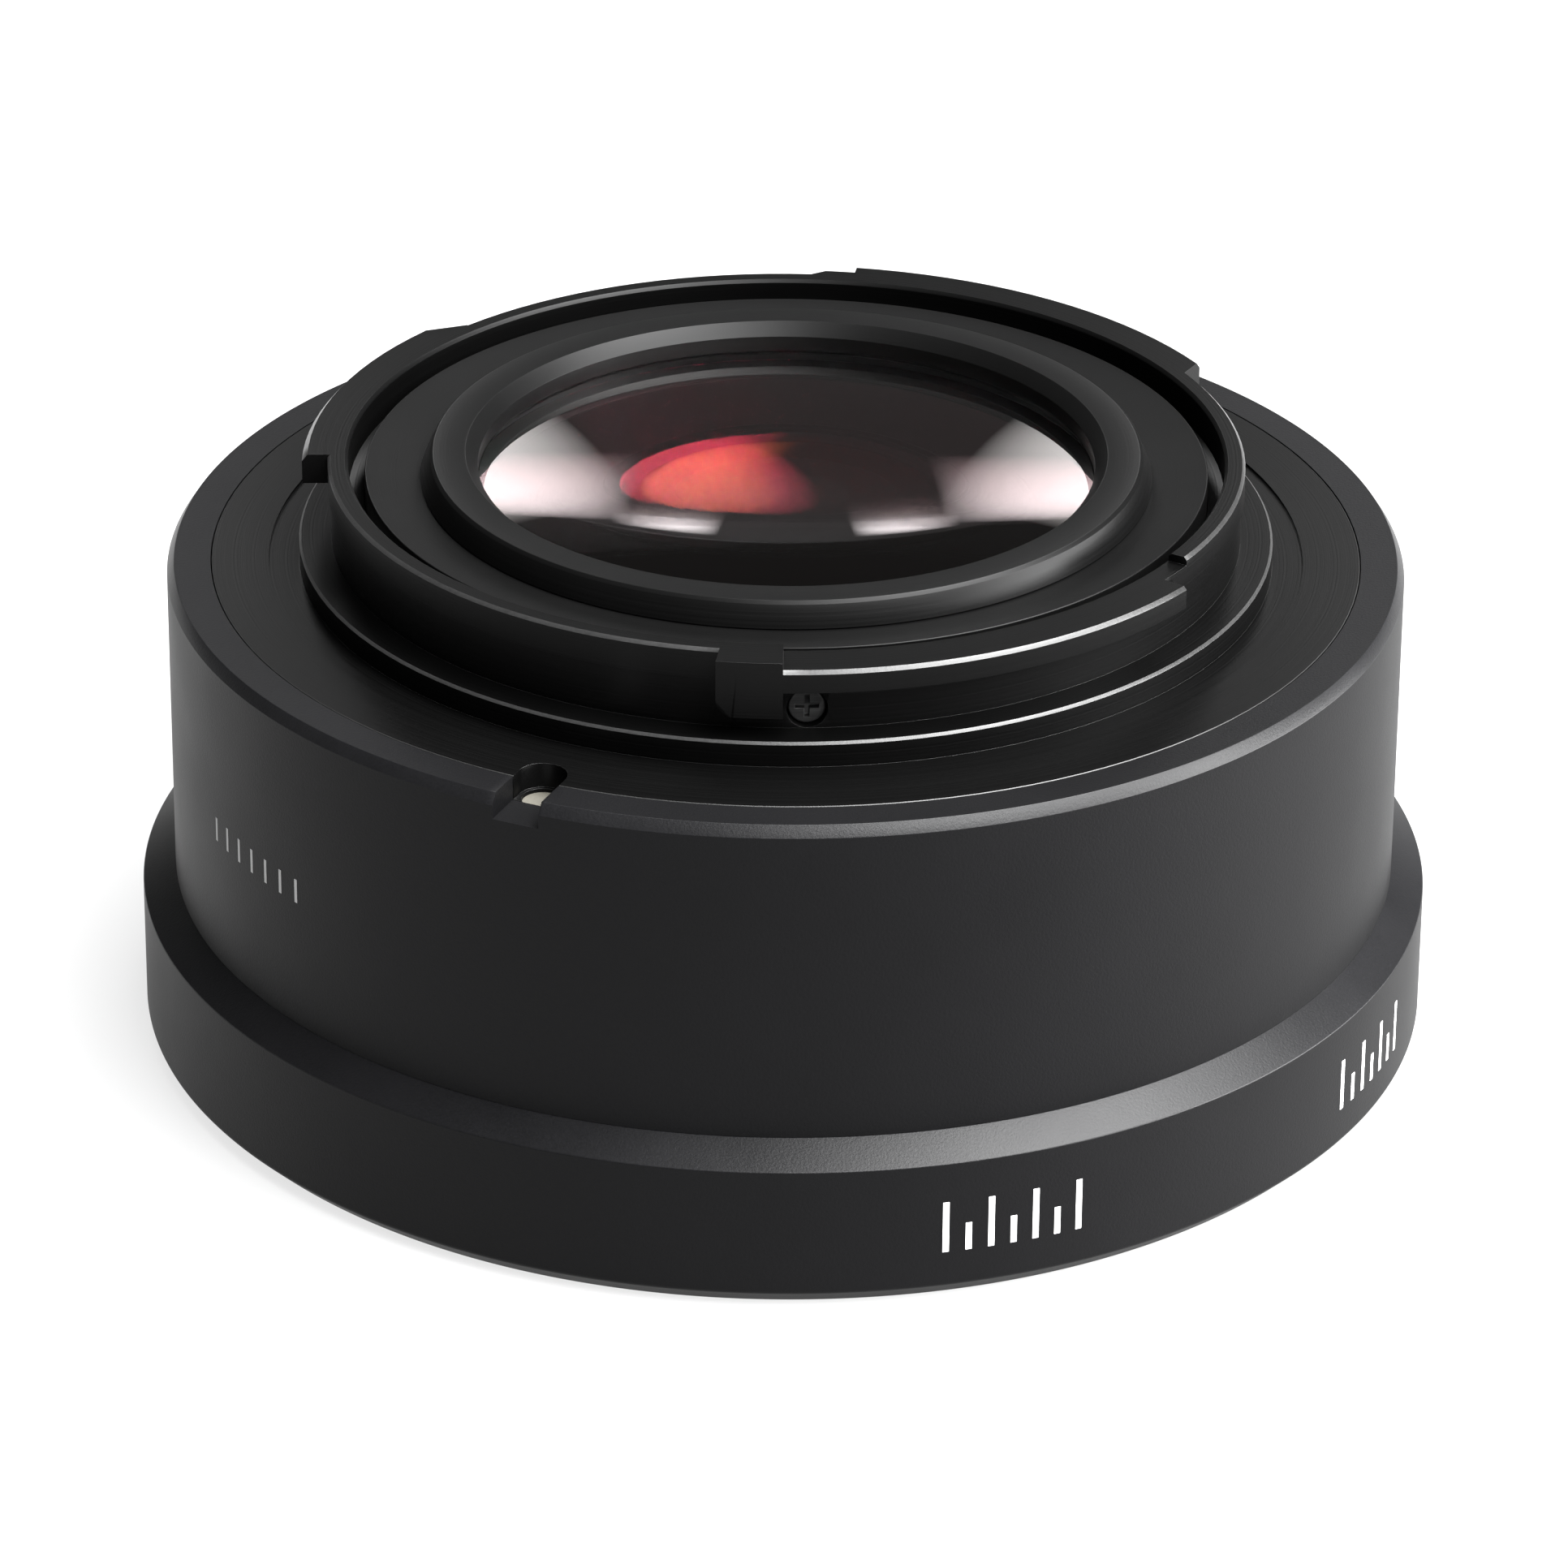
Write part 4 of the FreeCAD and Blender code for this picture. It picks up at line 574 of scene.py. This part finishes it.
def sphere_arc(curve, crown, radius, upward):
    """Outline points of a spherical surface from the axis to its edge."""
    steps = 36
    sign = -1.0 if upward else 1.0
    points = []
    for step in range(steps + 1):
        reach = radius * step / steps
        drop = curve - math.sqrt(curve * curve - reach * reach)
        points.append((reach, crown + sign * drop, 0.0))
    return points


# Barrel and lens-side ring

def make_barrel():
    """Barrel with its grooved tail bore, and the slot for the camera's pin."""
    pitch, depth = 0.9, 0.3
    well, well_foot, well_height = 0.95, 21.0, 1.62
    # Bounds, in height and reach, of the well's floor, painted lighter as a patch of light, and
    # of the worn edges
    well_low, well_high, well_near, well_far = 22.5, 22.75, 25.8, 27.9
    worn_near, worn_far = 24.4, 29.25
    corners = [(28.0, WEB_TOP, 0.1), (TAIL, WEB_TOP, 0.05)]
    for index in range(1, 5):
        height = WEB_TOP + pitch * index
        corners += [(TAIL, height, 0.02), (TAIL + depth, height + depth, 0.02),
                    (TAIL, height + depth, 0.02)]
    corners += [
        (TAIL, 10.3, 0.03), (23.2, 10.3, 0.08), (23.2, 11.3, 0.08), (26.0, 11.3, 0.1),
        (26.0, 19.5, 0.1), (20.9, 19.5, 0.08), (20.9, 22.0, 0.08), (27.6, 22.0, 0.05),
        (27.6, FLANGE, 0.02), (29.35, FLANGE, 0.05), (BARREL, 23.47, 0.06),
        (BARREL, RING_TOP, 0.02), (28.0, RING_TOP, 0.05)]
    tools = [
        box_cutter("pin_slot_run", start=SLOT_CIRCLE, length=4.0, width=SLOT_WIDTH,
                   bottom=SLOT_FLOOR, height=2.0, azimuth=SLOT_AZIMUTH),
        rod_cutter("pin_slot_end", radius=SLOT_WIDTH / 2, circle=SLOT_CIRCLE,
                   azimuth=SLOT_AZIMUTH, bottom=SLOT_FLOOR, height=2.0),
        rod_cutter("added_well_floor", radius=well, circle=SLOT_CIRCLE,
                   azimuth=SLOT_AZIMUTH, bottom=well_foot, height=well_height),
        box_cutter("slide_pocket", start=24.9, length=3.15, width=9.0,
                   bottom=WEB_TOP - 0.05, height=3.85, azimuth=RELEASE),
    ]
    piece = turned("barrel", corners, BLASTED_BLACK, tools, edge=0.06)
    slopes = second_finish(piece, CUT_BLACK, cut_slope)
    # The well's floor is painted lighter: a painted patch of light in the slot
    second_finish(piece, WELL_PAINTED_LIGHT, lambda face: (
        well_low < face.center.z / MM < well_high
        and well_near < reach_of(face) < well_far))
    second_finish(piece, EDGE_BLACK, lambda face: (
        face.material_index == slopes and worn_near < reach_of(face) < worn_far))
    settle_on(piece, "housing", "black_anodised", "body_barrel")


def make_lens_ring():
    """Wide ring with its bevel, foot and the window of the release."""
    corners = [
        (29.4, 0.0, 0.15), (30.4, 0.0, 0.25), (RING, 0.86, 0.3), (RING, 7.2, 0.12),
        (BARREL, RING_TOP, 0.1), (28.05, RING_TOP, 0.03), (28.05, WEB_TOP, 0.05),
        (TAIL, WEB_TOP, 0.05), (TAIL, WEB_BACK, 0.05), (29.4, WEB_BACK, 0.05)]
    below, through = WEB_BACK - 0.1, 1.6
    tools = [
        box_cutter("knob_window", start=27.7, length=5.0, width=6.84, bottom=below,
                   height=3.9, azimuth=RELEASE),
        rod_cutter("pin_way", radius=1.3, circle=PIN_CIRCLE, azimuth=RELEASE,
                   bottom=below, height=through),
    ]
    count, circle, first, step = PLATE_SCREWS
    for index in range(count):
        tools.append(rod_cutter(
            f"screw_way_{index}", radius=1.0, circle=circle, azimuth=first + step * index,
            bottom=below, height=through))
    piece = turned("lens_ring", corners, BLASTED_BLACK, tools, edge=0.08)
    second_finish(piece, CUT_BLACK, cut_slope)
    settle_on(piece, "housing", "black_anodised", "lens_side_ring")


# Camera side

def make_bayonet():
    """Camera bayonet with its edges broken, and the radial screw."""
    piece = dressed(
        "camera_bayonet", "camera_side_bayonet", TURNED_BLACK, edge=0.05, rim=lug_rim)
    second_finish(piece, EDGE_BLACK, cut_slope)
    settle_on(piece, "housing", "black_metal", "camera_bayonet")
    screw = dressed("optics_lock_screw", "radial_screw", SCREW_BLACK, edge=0.03)
    settle_on(screw, "housing", "steel_screw", "optics_lock_screw")


def make_optics_barrel():
    """Optical barrel with the dished face, and the rear cell in it."""
    barrel = turned("optics_tube", [
        (17.1, 8.65, 0.1), (18.15, 8.65, 0.1), (18.65, 9.15, 0.1), (18.65, 19.3, 0.05),
        (20.15, 19.3, 0.1), (20.15, 28.35, 0.06), (17.5, 27.95, 0.02), (17.25, 27.95, 0.02),
        (17.25, 22.95, 0.02), (14.6, 22.95, 0.02), (14.6, 20.03, 0.02), (15.6, 20.03, 0.02),
        (15.6, 12.4, 0.02), (17.1, 12.4, 0.02)], CELL_BLACK)
    settle_on(barrel, "housing", "black_metal", "optical_barrel")
    cell = turned("glass_cell", [
        (15.25, 23.0, 0.05), (17.2, 23.0, 0.05), (17.2, 28.0, 0.01), (17.5, 28.0, 0.02),
        (17.05, 29.05, 0.08), (16.9, 29.2, 0.08), (15.35, 29.2, 0.04), (14.75, 28.6, 0.04),
        (14.75, 27.85, 0.03), (15.25, 27.85, 0.02)], CELL_BLACK)
    settle_on(cell, "housing", "black_metal", "rear_cell")


def place_glass(name, outline, finish, slot, node, inner=None):
    """A glass with its ground side blackened, and maybe an inner coat on its underside."""
    steep = 0.6             # upward share of a normal below which a face is ground
    piece = turned(name, outline, finish, segments=GLASS_SEGMENTS)
    second_finish(piece, MATT_BLACK, lambda face: abs(face.normal.z) < steep)
    second_finish(piece, inner or finish, lambda face: face.normal.z <= -steep)
    settle_on(piece, "housing", slot, node)


def make_glasses():
    """Four glasses with true spherical surfaces."""
    rear_radius, middle_radius, front_radius = 15.2, 15.55, 17.05
    rear = sphere_arc(curve=89.98, crown=29.0, radius=rear_radius, upward=True)
    rear += [(rear_radius, 24.6, 0.1), (0.0, 24.6, 0.0)]
    place_glass("rear_glass", rear, REAR_COAT, "coated_glass", "rear_element", REAR_INNER)
    third = sphere_arc(curve=45.1, crown=22.4, radius=middle_radius, upward=True)
    third += sphere_arc(curve=119.7, crown=17.2, radius=middle_radius, upward=False)[::-1]
    place_glass("third_glass", third, THIRD_COAT, "glass", "third_element")
    second = sphere_arc(curve=70.0, crown=14.8, radius=middle_radius, upward=False)
    second += [(middle_radius, 13.2, 0.1), (0.0, 13.2, 0.0)]
    place_glass("second_glass", second, SECOND_COAT, "glass", "second_element")
    front = [(0.0, 12.35, 0.0), (front_radius, 12.35, 0.1)]
    front += sphere_arc(curve=64.8, crown=8.87, radius=front_radius, upward=False)[::-1]
    place_glass("front_glass", front, FRONT_COAT, "glass", "front_element")


def make_rings():
    """Retaining rings with spanner slots."""
    across, width, depth = 20.0, 1.2, 0.5
    for name, node, inner, outer, bottom, top in (
            ("rear_lock_ring", "rear_retaining_ring", 14.2, 15.2, 23.35, 24.55),
            ("front_lock_ring", "front_retaining_ring", 15.9, 17.05, 9.4, 10.8)):
        slots = box_cutter(
            f"{name}_slots", start=-across, length=2 * across, width=width,
            bottom=bottom - 2 * depth, height=3 * depth, azimuth=0.0)
        ring = turned(name, [(inner, bottom, 0.06), (outer, bottom, 0.06), (outer, top, 0.03),
                             (inner, top, 0.03)], MATT_BLACK, [slots], edge=0.04)
        settle_on(ring, "housing", "black_metal", node)


# Lens side

def make_lens_side():
    """Chromed bayonet plate, release and pin."""
    plate = dressed("lens_mount_plate", "lens_plate", CHROME, edge=0.06)
    settle_on(plate, "housing", "chromed_brass", "lens_mount_plate")
    knob = dressed("release_slider", "release_knob", TURNED_BLACK, edge=0.05)
    settle_on(knob, "release", "black_metal", "release_slider")
    pin = dressed("lock_pin", "lens_pin", PIN_STEEL, edge=0.04)
    settle_on(pin, "release", "steel_pin", "lock_pin")


def cross_screw(name, outline, face, finish):
    """One screw about the axis, with a cross recess in its lower face."""
    length, width, depth = 1.2, 0.4, 0.5
    tools = []
    for index, turn in enumerate((0.0, 90.0)):
        tools.append(box_cutter(
            f"{name}_arm_{index}", start=-length / 2, length=length, width=width,
            bottom=face - depth, height=2 * depth, azimuth=turn))
    return turned(name, outline, finish, tools, segments=48, steps=2, edge=0.03)


def set_around(piece, name, places, finish, height=0.0):
    """Copies of a piece around the axis, as one piece of its own."""
    count, circle, first, step = places
    with_tree(piece, AROUND, Count=count, Circle=circle * MM, Height=height * MM,
              First=math.radians(first), Step=math.radians(step), Finish=finish)
    return settled(piece, name)


def make_screws():
    """Both sets of screws, each one screw set around the axis."""
    plate_face, deck_face = 1.2, 18.45
    plate = cross_screw("plate_screw", [
        (0.0, plate_face, 0.0), (1.75, plate_face, 0.06), (0.95, 2.0, 0.05), (0.95, 6.8, 0.05),
        (0.0, 6.8, 0.0)], plate_face, SCREW_STEEL)
    settle_on(set_around(plate, "plate_screw_set", PLATE_SCREWS, SCREW_STEEL),
              "housing", "steel_screw", "plate_screws")
    deck = cross_screw("deck_screw", [
        (0.0, deck_face, 0.0), (1.4, deck_face, 0.15), (1.4, 19.45, 0.05), (0.8, 19.45, 0.02),
        (0.8, 23.4, 0.05), (0.0, 23.4, 0.0)], deck_face, SCREW_BLACK)
    settle_on(set_around(deck, "deck_screw_set", DECK_SCREWS, SCREW_BLACK),
              "housing", "steel_screw", "bayonet_screws")


def tick_set(name, radius, bottom, height, width, azimuth, step, count, finish):
    """Plain ticks around a wall, as a thin coat of paint that stands out a little."""
    coat, sunk = 0.05, 0.01

    def fill(work):
        bmesh.ops.create_cube(work, size=1.0)
        shape = Matrix.Diagonal((coat * MM, width * MM, height * MM, 1.0))
        bmesh.ops.transform(work, matrix=shape, verts=work.verts)
    ticks = set_around(cutter_from(f"{name}_one", fill), name,
                       (count, radius - sunk, azimuth, step), finish, bottom + height / 2)
    settle_on(ticks, "housing", "black_anodised")


def make_marks():
    """Plain ticks of a scale where the body and the ring carry their markings."""
    foot, width, step = 2.6, 0.3, 4.0
    for place, azimuth in (("ring", -76.0), ("side", -32.0)):
        tick_set(f"{place}_long_ticks", radius=RING, bottom=foot, height=2.6, width=width,
                 azimuth=azimuth, step=step, count=4, finish=MARK_PAINT)
        tick_set(f"{place}_short_ticks", radius=RING, bottom=foot, height=1.4, width=width,
                 azimuth=azimuth + step / 2, step=step, count=3, finish=MARK_PAINT)
    tick_set("body_ticks", radius=BARREL, bottom=14.6, height=1.2, width=0.18,
             azimuth=-154.0, step=2.4, count=7, finish=GREY_PAINT)


def make_lock_spring():
    """Spring above the pin, built at one length, though the real one shortens as the release is
    pulled.
    """
    radius, wire, pitch = 0.82, 0.12, 0.6
    foot, top, short = 5.25, 7.95, 0.515
    rise = top - foot - 2 * wire
    seat = on_circle(PIN_CIRCLE, RELEASE)
    blank = bpy.data.meshes.new("spring_source")
    source = link(bpy.data.objects.new("spring_source", blank))
    with_tree(source, SPRING, **{
        "Turns": rise / pitch, "Mean Radius": radius * MM, "Rise": rise * MM,
        "Wire Radius": wire * MM, "Foot": (*seat, (foot + wire) * MM), "Finish": SPRING_STEEL})
    spring = settled(source, "lock_coil")
    settle_on(spring, "housing", "spring_steel", "lock_spring")
    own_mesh(spring)


def finish_cad_nodes():
    """Finishes of the CAD nodes that stay."""
    for node, finish in (
            ("middle_spacer", MATT_BLACK), ("front_spacer", MATT_BLACK),
            ("inner_baffle", MATT_BLACK), ("leaf_springs", SPRING_STEEL)):
        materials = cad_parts[node].data.materials
        materials.clear()
        materials.append(finish)


make_barrel()
make_lens_ring()
make_bayonet()
make_optics_barrel()
make_glasses()
make_rings()
make_lens_side()
make_screws()
make_marks()
make_lock_spring()
finish_cad_nodes()


# Studio

def make_floor():
    """Pale seamless floor that glows a little, as a light table does."""
    mesh = bpy.data.meshes.new("floor")
    half = 4.0
    mesh.from_pydata(
        [(-half, -half, 0), (half, -half, 0), (half, half, 0), (-half, half, 0)],
        [], [(0, 1, 2, 3)])
    floor = link(bpy.data.objects.new("floor", mesh))
    material = finish_with("pale floor", GRAIN, {
        "Grain": 300.0, "Depth": 0.0, "Tone": 0.05, "Dark": grey(0.12), "Light": grey(0.13),
        "Rough": 0.8}, Emission_Color=grey(1.0), Emission_Strength=0.75)
    mesh.materials.append(material)


def softbox(name, azimuth, height, distance, size, energy, roll=0.0):
    """A lamp with soft borders that faces the object from an azimuth and an elevation."""
    aim = Vector((0.0, 0.0, 0.02))
    light = bpy.data.lights.new(name, "AREA")
    light.shape = "RECTANGLE"
    light.size, light.size_y = size
    light.energy = energy
    light.use_nodes = True
    tree = light.node_tree
    glow = tree.nodes["Emission"]
    across = add(tree, "ShaderNodeVectorMath", {
        0: add(tree, "ShaderNodeNewGeometry").outputs["Parametric"],
        1: (2.0, 2.0, 0.0), 2: (-1.0, -1.0, 0.0)}, operation="MULTIPLY_ADD")
    squared = add(tree, "ShaderNodeVectorMath", {
        0: across.outputs["Vector"], 1: across.outputs["Vector"]}, operation="MULTIPLY")
    parts = add(tree, "ShaderNodeSeparateXYZ", {"Vector": squared.outputs["Vector"]})
    fall = maths(tree, "MULTIPLY", maths(tree, "SUBTRACT", 1.0, parts.outputs["X"]),
                 maths(tree, "SUBTRACT", 1.0, parts.outputs["Y"]))
    evened = 2.25           # keeps the lamp's whole output as it was without the fall
    tree.links.new(maths(tree, "MULTIPLY", fall, evened), glow.inputs["Strength"])
    lamp = link(bpy.data.objects.new(name, light))
    turn, rise = math.radians(azimuth), math.radians(height)
    away = Vector((math.cos(turn) * math.cos(rise), math.sin(turn) * math.cos(rise),
                   math.sin(rise)))
    lamp.location = aim + away * distance
    facing = (-away).to_track_quat("-Z", "Y").to_matrix()
    rolled = facing @ Matrix.Rotation(math.radians(roll), 3, "Z")
    lamp.rotation_euler = rolled.to_euler()


def make_lights():
    """Dim surround, a key and its bounce at the right, three lamps above, strips behind."""
    world = bpy.data.worlds.new("studio")
    bpy.context.scene.world = world
    world.use_nodes = True
    surround = world.node_tree.nodes["Background"]
    surround.inputs["Color"].default_value = grey(1.0)
    surround.inputs["Strength"].default_value = 0.09
    softbox("key", azimuth=-8.0, height=24.0, distance=0.8, size=(0.5, 0.3), energy=7.5)
    softbox("bounce", azimuth=-8.0, height=4.0, distance=0.35, size=(0.5, 0.1), energy=3.0)
    softbox("overhead", azimuth=-32.0, height=54.0, distance=0.9, size=(1.15, 1.15),
            energy=40.0, roll=20.0)
    softbox("overhead_back", azimuth=30.0, height=66.0, distance=0.9, size=(0.9, 0.7),
            energy=23.0)
    softbox("front_top", azimuth=-62.0, height=41.0, distance=0.9, size=(1.0, 0.12), energy=7.0)
    for side, azimuth in (("left", 104.0), ("right", 76.0)):
        softbox(f"back_{side}", azimuth=azimuth, height=20.0, distance=0.8, size=(0.18, 0.32),
                energy=0.45)


def make_camera():
    """Long lens at the photograph's angle."""
    distance, elevation, roll = 0.3834, 26.768, 0.44
    data = bpy.data.cameras.new("camera")
    data.sensor_width = 36.0
    data.lens = 180.32
    data.clip_start = 0.01
    data.clip_end = 20.0
    camera = link(bpy.data.objects.new("camera", data))
    rise = math.radians(elevation)
    aim = Vector((0.0, 0.0, 0.011244))
    away = Vector((0.0, -math.cos(rise), math.sin(rise)))
    camera.location = aim + away * distance
    look = (-away).to_track_quat("-Z", "Y").to_matrix().to_4x4()
    camera.rotation_euler = (look @ Matrix.Rotation(math.radians(roll), 4, "Z")).to_euler()
    bpy.context.scene.camera = camera


make_floor()
make_lights()
make_camera()
bpy.context.scene.view_settings.view_transform = "Standard"
